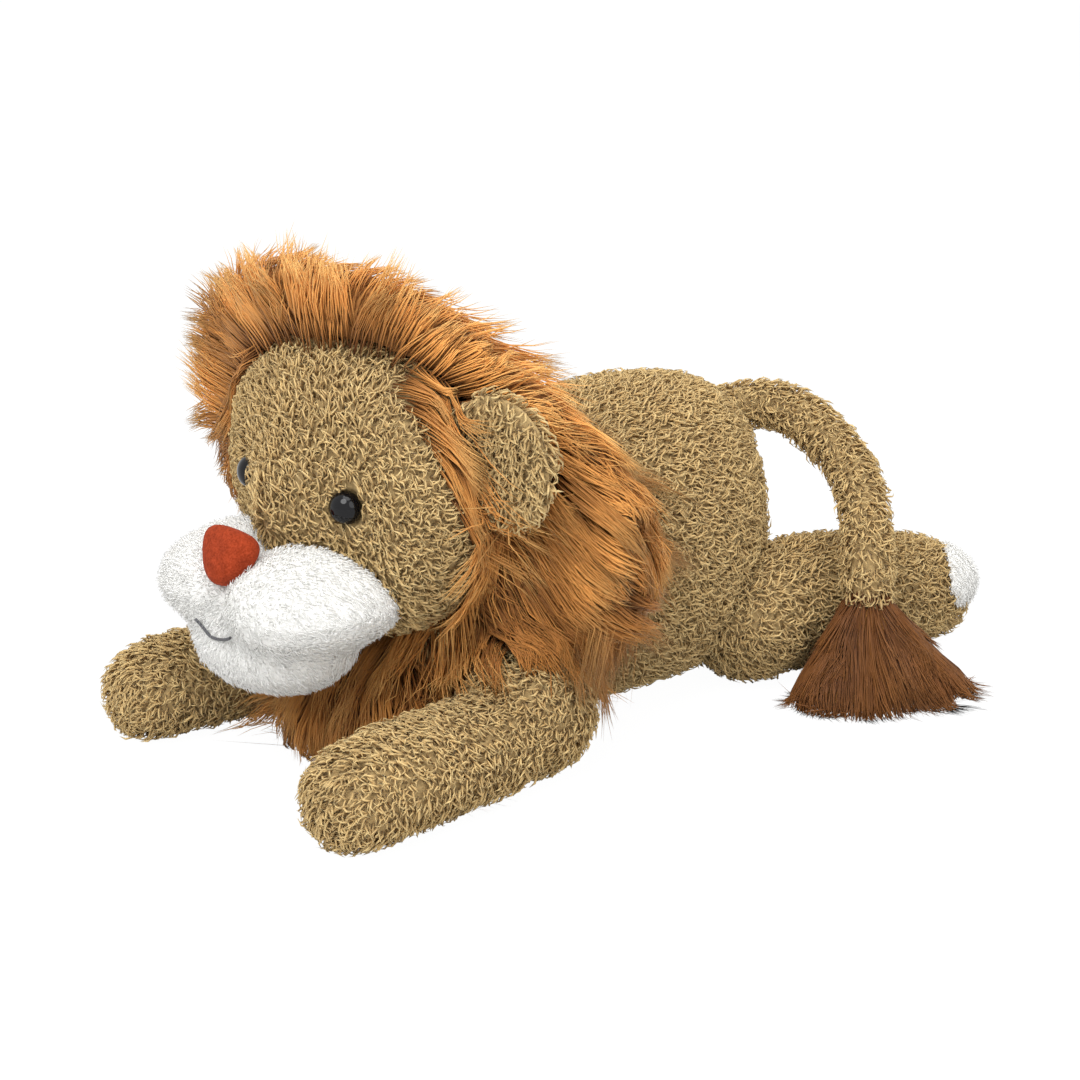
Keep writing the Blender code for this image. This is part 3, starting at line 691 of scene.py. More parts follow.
def new_tree(name, inputs):
    tree = bpy.data.node_groups.new(name, "GeometryNodeTree")
    tree.interface.new_socket("Geometry", in_out="INPUT", socket_type="NodeSocketGeometry")
    for kind, labels in inputs.items():
        for label in labels:
            tree.interface.new_socket(label, in_out="INPUT", socket_type=f"NodeSocket{kind}")
    tree.interface.new_socket("Geometry", in_out="OUTPUT", socket_type="NodeSocketGeometry")
    return tree, tree.nodes.new("NodeGroupInput").outputs


def position_of(tree):
    return tree.nodes.new("GeometryNodeInputPosition").outputs[0]


def attribute(tree, name, kind="FLOAT"):
    made = node(tree, "GeometryNodeInputNamedAttribute", {"Name": name}, data_type=kind)
    return out(made, "Attribute")


def vector_attribute(tree, name):
    return attribute(tree, name, "FLOAT_VECTOR")


def random_value(tree, low, high, seed, kind="FLOAT"):
    inputs = {"Min": low, "Max": high, "Seed": seed}
    return out(node(tree, "FunctionNodeRandomValue", inputs, data_type=kind))


def stored(tree, geometry, name, value, kind="FLOAT", domain="POINT"):
    inputs = {"Geometry": geometry, "Name": name, "Value": value}
    kind_of_node = "GeometryNodeStoreNamedAttribute"
    return node(tree, kind_of_node, inputs, data_type=kind, domain=domain).outputs[0]


def scattered(tree, inputs):
    """Seeded points where the skin is free, each with its own shade, and their normals."""
    points = node(
        tree,
        "GeometryNodeDistributePointsOnFaces",
        {
            "Mesh": inputs["Geometry"],
            "Density": times(tree, attribute(tree, "free"), inputs["Density"]),
            "Seed": inputs["Seed"],
        },
        distribute_method="RANDOM",
    )
    patch = noise(tree, position_of(tree), 55.0).outputs[0]
    own = random_value(tree, 0.0, 1.0, 3)
    spread = maths(tree, "MULTIPLY_ADD", patch, 0.9, -0.2)
    shade = maths(tree, "MULTIPLY_ADD", own, 0.62, times(tree, spread, 0.75))
    shade = node(tree, "ShaderNodeClamp", {"Value": shade, "Min": 0.02, "Max": 0.98})
    geometry = stored(tree, points.outputs["Points"], "shade", shade.outputs[0])
    return geometry, points.outputs["Normal"]


def planted(tree, inputs):
    """Real copies of an instance on points."""
    copies = node(tree, "GeometryNodeInstanceOnPoints", inputs).outputs[0]
    return node(tree, "GeometryNodeRealizeInstances", {"Geometry": copies}).outputs[0]


def finished(tree, inputs, geometry, position, tip=1.0):
    """Puts the strands in their place above the floor, and sets their map and material.

    Their own UV map stops at the tip's share.
    """
    place = split(tree, position)
    height = maths(tree, "MAXIMUM", place["Z"], inputs["Floor"])
    position = joined(tree, X=place["X"], Y=place["Y"], Z=height)
    moves = {"Geometry": geometry, "Position": position}
    geometry = node(tree, "GeometryNodeSetPosition", moves).outputs[0]
    along = split(tree, vector_attribute(tree, "OFBake"))["Y"]
    place = joined(tree, X=attribute(tree, "shade"), Y=times(tree, along, tip))
    geometry = stored(tree, geometry, "OFBake", place, "FLOAT2", "CORNER")
    coat = {"Geometry": geometry, "Material": inputs["Material"]}
    coated = node(tree, "GeometryNodeSetMaterial", coat)
    tree.links.new(coated.outputs[0], tree.nodes.new("NodeGroupOutput").inputs[0])


def aligned(tree, axis, vector, inputs=None, **settings):
    inputs = {"Vector": vector, **(inputs or {})}
    made = node(tree, "FunctionNodeAlignRotationToVector", inputs, axis=axis, **settings)
    return made.outputs[0]


def short_pile_tree(name):
    """Curly tufts that lie along the comb attribute, each turned a little its own way."""
    tree, inputs = new_tree(
        name,
        {
            "Float": ("Density", "Turn", "Smallest", "Largest", "Floor"),
            "Int": ("Seed", "Kinds"),
            "Collection": ("Tufts",),
            "Material": ("Material",),
        },
    )
    geometry, normal = scattered(tree, inputs)
    upright = {"Rotation": aligned(tree, "Z", normal)}
    combed = aligned(tree, "X", vector_attribute(tree, "comb"), upright, pivot_axis="Z")
    less = times(tree, inputs["Turn"], -1.0)
    spin = joined(tree, Z=random_value(tree, less, inputs["Turn"], 11))
    turn = node(tree, "FunctionNodeEulerToRotation", {"Euler": spin}).outputs[0]
    turns = {"Rotation": combed, "Rotate By": turn}
    rotation = node(tree, "FunctionNodeRotateRotation", turns, rotation_space="LOCAL")
    kinds = {"Collection": inputs["Tufts"], "Separate Children": True, "Reset Children": True}
    real = planted(
        tree,
        {
            "Points": geometry,
            "Instance": node(tree, "GeometryNodeCollectionInfo", kinds).outputs[0],
            "Pick Instance": True,
            "Instance Index": random_value(tree, 0, inputs["Kinds"], 7, "INT"),
            "Rotation": rotation.outputs[0],
            "Scale": random_value(tree, inputs["Smallest"], inputs["Largest"], 5),
        },
    )
    place = position_of(tree)
    rough = out(noise(tree, place, 420.0), "Color")
    sway = vectors(tree, "SUBTRACT", rough, (0.5, 0.5, 0.5))
    sway = scaled(tree, sway, times(tree, attribute(tree, "along"), 2.2 * MM))
    finished(tree, inputs, real, total(tree, place, sway))
    return tree


def lock_part(tree, axis):
    """One of the numbers that all strands of a lock share, from -0.5 to 0.5."""
    return split(tree, vector_attribute(tree, "way"))[axis]


def laid_on_form(tree, inputs, straight, along):
    """A strand's points laid on the form, rising from it towards the tip."""
    form = out(node(tree, "GeometryNodeObjectInfo", {"Object": inputs["Form"]}), "Geometry")
    found = []
    for kind in ("GeometryNodeInputPosition", "GeometryNodeInputNormal"):
        value = tree.nodes.new(kind).outputs[0]
        wanted = {"Mesh": form, "Value": value, "Sample Position": straight}
        sampler = "GeometryNodeSampleNearestSurface"
        found.append(out(node(tree, sampler, wanted, data_type="FLOAT_VECTOR"), "Value"))
    place, normal = found
    left = maths(tree, "SUBTRACT", 1.0, along)
    rounded = maths(tree, "SUBTRACT", 1.0, times(tree, left, left))
    lock = maths(tree, "ADD", lock_part(tree, "X"), 0.5)
    rise = times(tree, lock, inputs["Rise"], along)
    arch = times(tree, along, left, 4.0)
    rise = maths(tree, "MULTIPLY_ADD", arch, attribute(tree, "bulge"), rise)
    height = maths(tree, "MULTIPLY_ADD", rounded, inputs["Loft"], rise)
    return total(tree, place, scaled(tree, normal, height))


def long_pile_tree(name):
    """Long strands that leave the skin along the comb attribute, gather in locks and droop."""
    sizes = ("Density", "Width", "Lock Size", "Gather", "Stray", "Loft", "Rise", "Shade", "Tip")
    tree, inputs = new_tree(
        name,
        {
            "Float": (*sizes, "Floor"),
            "Int": ("Seed",),
            "Object": ("Strand", "Form"),
            "Material": ("Material",),
        },
    )
    geometry, _ = scattered(tree, inputs)
    root = position_of(tree)
    cells = {"Vector": root, "Scale": maths(tree, "DIVIDE", 1.0, inputs["Lock Size"])}
    locks = node(tree, "ShaderNodeTexVoronoi", cells, voronoi_dimensions="3D", feature="F1")
    numbers = locks.outputs["Color"]
    parts = split(tree, numbers)
    alike = times(tree, parts["Z"], 0.66)
    unlike = random_value(tree, 0.0, 0.34, 17)
    # The Shade input lightens or darkens a whole piece of hair: painted light and shade over each
    # lock's own tone.
    shade = times(tree, maths(tree, "ADD", alike, unlike), inputs["Shade"])
    comb = vector_attribute(tree, "comb")
    length = times(tree, vectors(tree, "LENGTH", comb), random_value(tree, 0.78, 1.04, 9))
    length = times(tree, length, maths(tree, "MULTIPLY_ADD", parts["X"], 0.4, 0.8))
    span = scaled(tree, vectors(tree, "NORMALIZE", comb), length)
    own = random_value(tree, (-1, -1, -1), (1, 1, 1), 21, "FLOAT_VECTOR")
    geometry = stored(tree, geometry, "shade", shade)
    for label, value in {
        "gather": vectors(tree, "SUBTRACT", locks.outputs["Position"], root),
        "way": vectors(tree, "SUBTRACT", numbers, (0.5, 0.5, 0.5)),
        "own": own,
        "root": root,
        "span": span,
    }.items():
        geometry = stored(tree, geometry, label, value, "FLOAT_VECTOR")
    width = times(tree, inputs["Width"], random_value(tree, 0.6, 1.4, 13))
    source = node(tree, "GeometryNodeObjectInfo", {"Object": inputs["Strand"]})
    real = planted(
        tree,
        {
            "Points": geometry,
            "Instance": out(source, "Geometry"),
            "Rotation": aligned(tree, "Z", comb),
            "Scale": joined(tree, X=width, Y=width, Z=length),
        },
    )
    along = attribute(tree, "along")
    square = times(tree, along, along)
    droop = scaled(tree, vector_attribute(tree, "droop"), square)
    pull = times(tree, maths(tree, "POWER", along, 1.3), inputs["Gather"])
    gather = scaled(tree, vector_attribute(tree, "gather"), pull)
    span = vector_attribute(tree, "span")
    reach = times(tree, vectors(tree, "LENGTH", span), inputs["Stray"], square)
    together = scaled(tree, vector_attribute(tree, "way"), reach)
    alone = scaled(tree, vector_attribute(tree, "own"), times(tree, reach, 0.22))
    offset = total(tree, droop, gather, together, alone)
    middle = total(tree, vector_attribute(tree, "root"), scaled(tree, span, along))
    aside = vectors(tree, "SUBTRACT", position_of(tree), middle)
    straight = total(tree, middle, offset)
    laid = laid_on_form(tree, inputs, straight, along)
    free_lock = maths(tree, "MULTIPLY_ADD", lock_part(tree, "Y"), 0.7, 0.65)
    share = times(tree, attribute(tree, "loose"), maths(tree, "POWER", along, 1.5), free_lock)
    share = maths(tree, "MINIMUM", share, 1.0)
    rest = maths(tree, "SUBTRACT", 1.0, share)
    position = total(tree, scaled(tree, laid, rest), scaled(tree, straight, share), aside)
    finished(tree, inputs, real, position, inputs["Tip"])
    return tree


def grown(name, skin, tree, values):
    """The plain mesh that a pile tree grows on a skin."""
    helper = linked(name, skin)
    pile = helper.modifiers.new("Pile", "NODES")
    pile.node_group = tree
    for item in tree.interface.items_tree:
        if item.item_type == "SOCKET" and item.in_out == "INPUT" and item.name in values:
            pile[item.identifier] = values[item.name]
    mesh = frozen(helper)
    keep = {"OFBake", "position", "material_index", "sharp_face"}
    for old in [a.name for a in mesh.attributes]:
        found = mesh.attributes.get(old)
        if old not in keep and not old.startswith(".") and not found.is_internal:
            mesh.attributes.remove(found)
    mesh.name = name
    return mesh


def piece(name, mesh, body, replaced=()):
    """A finished piece that rides on a body and may stand for CAD nodes."""
    made = linked(name, mesh)
    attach(made, body)
    if replaced:
        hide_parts(*replaced)
    return made


def padded_piece(name, mesh, material, body, replaced):
    """A stuffed piece in its material, which stands for CAD nodes."""
    mesh.materials.append(material)
    piece(name, mesh, body, replaced)


# Where the pile lies


def unit(ways):
    return ways / np.maximum(np.linalg.norm(ways, axis=1, keepdims=True), TINY)


def lie_down(normals, way):
    """The part of a direction that lies in the skin, as unit vectors."""
    return unit(way - normals * np.sum(way * normals, axis=1, keepdims=True))


def body_comb(points, normals, name):
    """The direction in which the tan pile is brushed: back, and down the sides."""
    if name == "head":
        way = (points - np.array(HEAD_CENTRE) - np.array((0, -0.04, -0.015))) * (1, 0.3, 1)
        way[:, 2] -= 6 * MM
    else:
        form = name.split("_")[0]
        way = np.zeros_like(points) + BRUSHED[form]
        if form == "ear":
            way[:, 0] *= np.sign(points[:, 0])
    return lie_down(normals, way)


def outline_reach(points, centre, count=36):
    """How far the form reaches from the centre's Y axis in each direction round it."""
    flat = points - np.array(centre)
    turns = np.arctan2(flat[:, 2], flat[:, 0])
    spans = np.hypot(flat[:, 0], flat[:, 2])
    steps = np.floor((turns / (2 * math.pi) + 0.5) * count).astype(int) % count
    most = np.array([spans[steps == i].max(initial=0.0) for i in range(count)])
    most = (np.roll(most, 1) + most + np.roll(most, -1)) / 3
    return spans, most[steps]


def behind_hairline(points):
    """Where the locks before the ears cover the head."""
    x, y, z = points.T
    line = np.interp(z, *zip(*HAIRLINE))
    return (np.abs(x) > HAIRLINE_BESIDE) & (z > HAIRLINE_ABOVE) & (y > line)


def swirled(ways, normals, points, most):
    """The ways turned in the skin, as much one way or the other as a slow wave gives."""
    x, y, z = (points / MM).T
    wave = np.sin(x * 0.10 + y * 0.13 + 1.0) + np.sin(z * 0.14 - y * 0.09 + x * 0.05)
    turn = np.reshape(most, (-1, 1)) * wave[:, None] / 2
    return ways * np.cos(turn) + np.cross(normals, ways) * np.sin(turn)


def mane_comb(points, normals, length):
    """Out from the face all round, then back and down over the shoulders.

    Gives each point's comb, its droop, how freely its strands stand off the form, how far they
    arch from it, and whether strands root there.
    """
    radial = unit((points - np.array(HEAD_CENTRE)) * (1, 0, 1))
    spans, most = outline_reach(points, HEAD_CENTRE)
    back = np.clip((0.70 + normals[:, 1:2]) / 0.8, 0, 1)
    near = np.clip(points[:, 0:1] / 0.05, 0, 1)
    far = np.clip(-points[:, 0:1] / 0.05, 0, 1)
    top = np.clip(radial[:, 2:3], 0, 1)
    way = radial * (1 - 0.65 * back)
    way = way + np.array((0, 1, 0)) * (back + 0.35 * near * (1 - back) * (1 - 0.6 * top))
    down = 0.9 * near * (1 - top) + 0.15 * far * (1 - top) + 0.3 * back
    way = lie_down(normals, way + np.array((0, 0, -1)) * down)
    upright = np.maximum(top, far) * (1 - back)
    way = swirled(way, normals, points, math.radians(12) * (1 - 0.5 * upright))
    room = room_ahead(points, way, tree_of("mane_crown"), length)[:, None]
    way = unit(way + normals * (0.12 + 0.16 * back))
    to_edge = (most - spans)[:, None] + 11 * MM
    low = near * np.clip((0.085 - points[:, 2:3]) / 0.02, 0, 1)
    reach = np.minimum(length, room + 5 * MM + 20 * MM * low)
    reach = reach * (1 - upright) + np.clip(to_edge, 16 * MM, length) * upright
    droop = np.zeros_like(points)
    droop[:, 2:3] = -reach * 0.12 * (1 - top)
    at_hem = near * (1 - upright) * np.clip(1.15 - room / (42 * MM), 0, 1)
    loose = np.maximum(0.30 + 0.7 * upright, 0.9 * at_hem)
    bulge = 8 * MM * near * (1 - back) * (1 - top)
    rooted = (room > 7 * MM) | (upright > 0.3) | (low > 0.3)
    thinned = 1 - upright * (1 - np.clip(to_edge / (40 * MM), 0.3, 1))
    return way * reach, droop, loose[:, 0], bulge[:, 0], (rooted * thinned)[:, 0]


# Properties


def length_of(name, description, default):
    return FloatProperty(name=name, description=description, default=default, unit="LENGTH")


def number_of(name, description, default):
    return FloatProperty(name=name, description=description, default=default)


def colour_of(name, description, default):
    return FloatVectorProperty(
        name=name, description=description, default=default, subtype="COLOR"
    )


class LionPile(bpy.types.PropertyGroup):
    """The curly tan pile of the body, head and limbs."""

    tuft_length: length_of("Tuft length", "Length of one curly tuft", 0.0070)
    tuft_width: length_of("Tuft width", "Thickness of one tuft", 0.00098)
    tufts_per_square_metre: number_of("Tufts", "Tufts on a square metre of skin", 440000.0)
    root_colour: colour_of("Root", "Colour at the roots", (0.44, 0.30, 0.13))
    middle_colour: colour_of("Middle", "Colour halfway up", (0.72, 0.51, 0.225))
    tip_colour: colour_of("Tip", "Colour at the tips", (0.87, 0.68, 0.335))


class LionMane(bpy.types.PropertyGroup):
    """The long ginger pile of the mane, the bib and the tail's tassel."""

    strand_length: length_of("Strand length", "Length of the mane's strands", 0.048)
    strand_width: length_of("Strand width", "Thickness of a strand", 0.00052)
    strands_per_square_metre: number_of("Strands", "Strands on a square metre of skin", 520000.0)
    lock_size: length_of("Lock size", "How far apart the locks stand", 0.012)
    root_colour: colour_of("Root", "Colour at the roots", (0.24, 0.085, 0.018))
    middle_colour: colour_of("Middle", "Colour halfway up", (0.84, 0.375, 0.09))
    tip_colour: colour_of("Tip", "Colour at the tips", (0.92, 0.57, 0.20))


class LionMuzzle(bpy.types.PropertyGroup):
    """The white plush of the muzzle and the soles, and the nose and mouth on it."""

    nap_length: length_of("Nap length", "Length of the white plush", 0.0028)
    nap_width: length_of("Nap width", "Thickness of one strand", 0.00042)
    naps_per_square_metre: number_of("Naps", "Strands on a square metre of skin", 1150000.0)
    white_colour: colour_of("White", "Colour of the white plush", (0.94, 0.935, 0.91))
    nose_colour: colour_of("Nose", "Colour of the velour nose", (0.36, 0.043, 0.008))
    thread_colour: colour_of("Thread", "Colour of the mouth's thread", (0.15, 0.15, 0.16))


class LionEyes(bpy.types.PropertyGroup):
    """The two safety eyes."""

    diameter: length_of("Diameter", "Diameter of an eye", 0.012)
    dome: length_of("Dome", "Height of an eye's dome", 0.005)
    colour: colour_of("Colour", "Colour of the eyes", (0.004, 0.004, 0.005))


class LionStage(bpy.types.PropertyGroup):
    """The floor, the lights and the pile's seed."""

    floor_size: length_of("Floor", "Width of the floor", 6.0)
    light_level: number_of("Light level", "Share of the studio lights' power", 1.0)
    seed: IntProperty(name="Seed", description="Seed of all the pile", default=4)


class LionLooks(bpy.types.PropertyGroup):
    """All that can be set on the lion."""

    pile: PointerProperty(type=LionPile, name="Pile", description="Curly tan pile")
    mane: PointerProperty(type=LionMane, name="Mane", description="Long ginger pile")
    muzzle: PointerProperty(type=LionMuzzle, name="Muzzle", description="White plush and nose")
    eyes: PointerProperty(type=LionEyes, name="Eyes", description="Safety eyes")
    stage: PointerProperty(type=LionStage, name="Stage", description="Floor and lights")


# What the operators share


def grown_short(label, skin, tufts, settings):
    """Short pile of the given tufts on a skin."""
    values = {"Floor": 0.2 * MM, "Tufts": tufts, "Kinds": len(tufts.objects) - 1, **settings}
    return grown(label, skin, shared(short_pile_tree, "Short Pile"), values)


def others_than(*names):
    """The nodes that pile keeps clear of: not its own, and none of those that lie on pile."""
    left_out = (*names, "mane_crown", "mane_bib", "mouth_stitch")
    return [other for other in frame["nodes"] if other not in left_out]


def make_tan(name, voxel, inset, splits=(("", everywhere, 1.0),)):
    """One tan form: its skin, and its curly pile in the parts that splits give."""
    look = looks().pile
    skin = soft_skin(f"{name}_skin", cad_mesh(name), voxel, 2, inset)
    points, normals = vertex_arrays(skin)
    free = bare_where_covered(skin, others_than(name, "tail_tassel"), TAN_REACH)
    if name == "head":
        free[behind_hairline(points)] = 0
        for sign in SIDES.values():
            eye = np.array(EYE_PLACE) * (sign, 1, 1)
            free[np.linalg.norm(points - eye, axis=1) < BARE_ROUND_EYE] = 0
    put_attributes(skin, free=free, comb=body_comb(points, normals, name))
    tufts = tuft_collection(f"{name}_tufts", look.tuft_length, look.tuft_width, 3, TUFT_KINDS)
    for i, (suffix, keep, thin) in enumerate(splits):
        label = f"{name}_pile{suffix}"
        settings = {
            "Density": look.tufts_per_square_metre * thin,
            "Turn": math.radians(75),
            "Smallest": 0.75,
            "Largest": 1.2,
            "Seed": looks().stage.seed + i,
            "Material": tan_pile(),
        }
        mesh = grown_short(label, part_of(skin, label, keep), tufts, settings)
        piece(label, mesh, body_of(name))
    remove_collection(tufts)
    body = body_of(name)
    padded_piece(f"{name}_skin", skin, tan_cloth_and_shade(), body, (name,))


def make_white(label, names, body, rounds, inset, filled):
    """White forms sewn together: their skin and its short, dense plush."""
    look = looks().muzzle
    skin = hair_form(f"{label}_skin", names, 1.7 * MM, rounds, inset, filled)
    points, normals = vertex_arrays(skin)
    away = (points - points.mean(axis=0)) * (1, 0.2, 1)
    away[:, 2] -= 6 * MM
    free = bare_where_covered(skin, others_than(*names), WHITE_REACH)
    put_attributes(skin, free=free, comb=lie_down(normals, away))
    naps = tuft_collection(f"{label}_naps", look.nap_length, look.nap_width, 2, NAP_KINDS)
    settings = {
        "Density": look.naps_per_square_metre,
        "Turn": math.radians(50),
        "Smallest": 0.7,
        "Largest": 1.25,
        "Seed": looks().stage.seed,
        "Material": white_pile(),
    }
    mesh = grown_short(f"{label}_plush", skin, naps, settings)
    remove_collection(naps)
    piece(f"{label}_plush", mesh, body)
    padded_piece(f"{label}_skin", skin, white_backing(), body, names)


def long_strand(name):
    """A unit strand that the long pile stretches: a thin tapering blade with three sides."""
    radii = [0.5 * share for share in (0.85, 1.0, 0.85, 0.6, 0.0)]
    steps = len(radii) - 1
    path = [Vector((0, 0, i / steps)) for i in range(steps + 1)]
    return bpy.data.objects.new(name, strand_mesh(name, path, radii))


def make_long(label, form, body, settings, keep=everywhere):
    """Long pile on the part of a form that keep passes; the form carries its comb and droop."""
    look = looks().mane
    strand = long_strand(f"{label}_strand")
    surface = linked(f"{label}_form", form)
    values = {
        "Density": look.strands_per_square_metre,
        "Width": look.strand_width,
        "Lock Size": look.lock_size,
        "Gather": 0.88,
        "Stray": 0.45,
        "Loft": 3.0 * MM,
        "Rise": 8.0 * MM,
        "Shade": 1.0,
        "Tip": 1.0,
        "Floor": 0.3 * MM,
        "Seed": looks().stage.seed,
        "Strand": strand,
        "Form": surface,
        "Material": ginger_pile(),
    }
    tree = shared(long_pile_tree, "Long Pile")
    mesh = grown(label, part_of(form, label, keep), tree, values | settings)
    remove(surface)
    remove(strand)
    piece(label, mesh, body)


def long_backing(name, voxel, inset, body):
    """The cloth that long pile is rooted in, in place of its CAD node."""
    skin = soft_skin(f"{name}_skin", cad_mesh(name), voxel, 3, inset)
    padded_piece(f"{name}_skin", skin, ginger_backing(), body, (name,))


# Operators


class LION_OT_torso(bpy.types.Operator):
    """Makes the stuffed torso with its curly pile"""

    bl_idname = "lion.torso"
    bl_label = "Torso"

    def execute(self, context):
        splits = (
            ("_left", lambda c: c.x >= 0 and c.z > BELLY_TOP, 1.0),
            ("_right", lambda c: c.x < 0 and c.z > BELLY_TOP, 1.0),
            ("_belly", lambda c: c.z <= BELLY_TOP, 0.6),
        )
        make_tan("torso", 3.0 * MM, 2.0 * MM, splits)
        return {"FINISHED"}


class LION_OT_head(bpy.types.Operator):
    """Makes the head and the two ears with their curly pile"""

    bl_idname = "lion.head"
    bl_label = "Head and ears"

    def execute(self, context):
        make_tan("head", 2.2 * MM, 1.5 * MM, (("", lambda c: c.y < FACE_BACK, 1.0),))
        for side in SIDES:
            make_tan(f"ear_{side}", 1.2 * MM, 1.3 * MM)
        return {"FINISHED"}


class LION_OT_limbs(bpy.types.Operator):
    """Makes the forelegs and the hind legs with their curly pile"""

    bl_idname = "lion.limbs"
    bl_label = "Legs"

    def execute(self, context):
        for side in SIDES:
            for leg in ("foreleg", "hind_leg"):
                make_tan(f"{leg}_{side}", 2.2 * MM, 2.0 * MM)
        return {"FINISHED"}


class LION_OT_tail(bpy.types.Operator):
    """Makes the tail with its curly pile"""

    bl_idname = "lion.tail"
    bl_label = "Tail"

    def execute(self, context):
        make_tan("tail", 1.6 * MM, 1.3 * MM)
        return {"FINISHED"}


class LION_OT_muzzle(bpy.types.Operator):
    """Makes the white cheeks, the chin and the white soles"""

    bl_idname = "lion.muzzle"
    bl_label = "White plush"

    def execute(self, context):
        names = ("muzzle_left", "muzzle_right", "chin")
        make_white("muzzle", names, "head", 6, -0.3 * MM, 6 * MM)
        for side in SIDES:
            sole = f"sole_{side}"
            make_white(sole, (sole,), body_of(sole), 2, 0.0, 0.0)
        return {"FINISHED"}


class LION_OT_nose(bpy.types.Operator):
    """Makes the velour nose and the sewn mouth"""

    bl_idname = "lion.nose"
    bl_label = "Nose and mouth"

    def execute(self, context):
        look = looks().muzzle
        skin = soft_skin("nose_velour", cad_mesh("nose"), 0.8 * MM, 4, -0.6 * MM)
        velour = velour_material("red_velour", tuple(look.nose_colour))
        padded_piece("nose_velour", skin, velour, "head", ("nose",))
        self.mouth(look)
        return {"FINISHED"}

    def mouth(self, look):
        """A thread laid in the plush under the nose, in a shallow smile."""
        curve = bpy.data.curves.new("mouth_line", "CURVE")
        curve.dimensions = "3D"
        curve.bevel_depth = THREAD_RADIUS
        curve.bevel_resolution = 2
        curve.use_fill_caps = True
        tree = search_tree(bpy.data.objects["muzzle_skin"].data)
        line = curve.splines.new("POLY")
        line.points.add(MOUTH_POINTS - 1)
        for i, point in enumerate(line.points):
            share = 2 * i / (MOUTH_POINTS - 1) - 1
            height = MOUTH_HEIGHT + MOUTH_RISE * share * share
            start = Vector((MOUTH_MIDDLE + share * MOUTH_HALF, BEFORE_FACE, height))
            place = tree.ray_cast(start, Vector((0, 1, 0)))[0]
            proud = (THREAD_PROUD[0] + THREAD_PROUD[1] * max(share, 0)) * MM
            point.co = (place.x, place.y - proud, place.z, 1)
        mesh = frozen(linked("mouth_line", curve))
        mend(mesh)
        mesh.materials.clear()
        mesh.materials.append(thread_material("grey_thread", tuple(look.thread_colour)))
        piece("mouth_thread", mesh, "head", ("mouth_stitch",))


class LION_OT_eyes(bpy.types.Operator):
    """Makes the glossy safety eyes, and finishes the washers inside the head"""

    bl_idname = "lion.eyes"
    bl_label = "Eyes"

    def execute(self, context):
        look = looks().eyes
        black = moulded_material("black_gloss", tuple(look.colour), 0.06, 500.0, 0.3)
        white = moulded_material("washer_plastic", (0.8, 0.8, 0.78), 0.4, 300.0, 0.5)
        for side, sign in SIDES.items():
            self.eye(side, sign, look, black)
            washer = frame["nodes"][f"eye_washer_{side}"]
            washer.data.materials.clear()
            washer.data.materials.append(white)
        return {"FINISHED"}

    def eye(self, side, sign, look, material):
        """A turned dome with a rim and a stem, where the CAD eye is."""
        place = Vector(EYE_PLACE) * Vector((sign, 1, 1))
        aim = place - HEAD_CENTRE
        aim.x *= EYE_TURN
        aim.normalize()
        radius = look.diameter / 2
        turns = [math.pi / 2 * i / EYE_STEPS for i in range(EYE_STEPS + 1)]
        profile = [(radius * math.sin(turn), look.dome * math.cos(turn)) for turn in turns]
        profile += [(radius, EYE_RIM), (EYE_STEM_RADIUS, EYE_RIM)]
        profile += [(EYE_STEM_RADIUS, EYE_STEM_END), (0, EYE_STEM_END)]
        name = f"eye_{side}_gloss"
        mesh = turned_mesh(name, profile, EYE_SEGMENTS)
        turned = aim.to_track_quat("Z", "Y").to_matrix().to_4x4()
        mesh.transform(Matrix.Translation(place + aim * EYE_PROUD) @ turned)
        mesh.materials.append(material)
        piece(name, mesh, "head", (f"eye_{side}",))


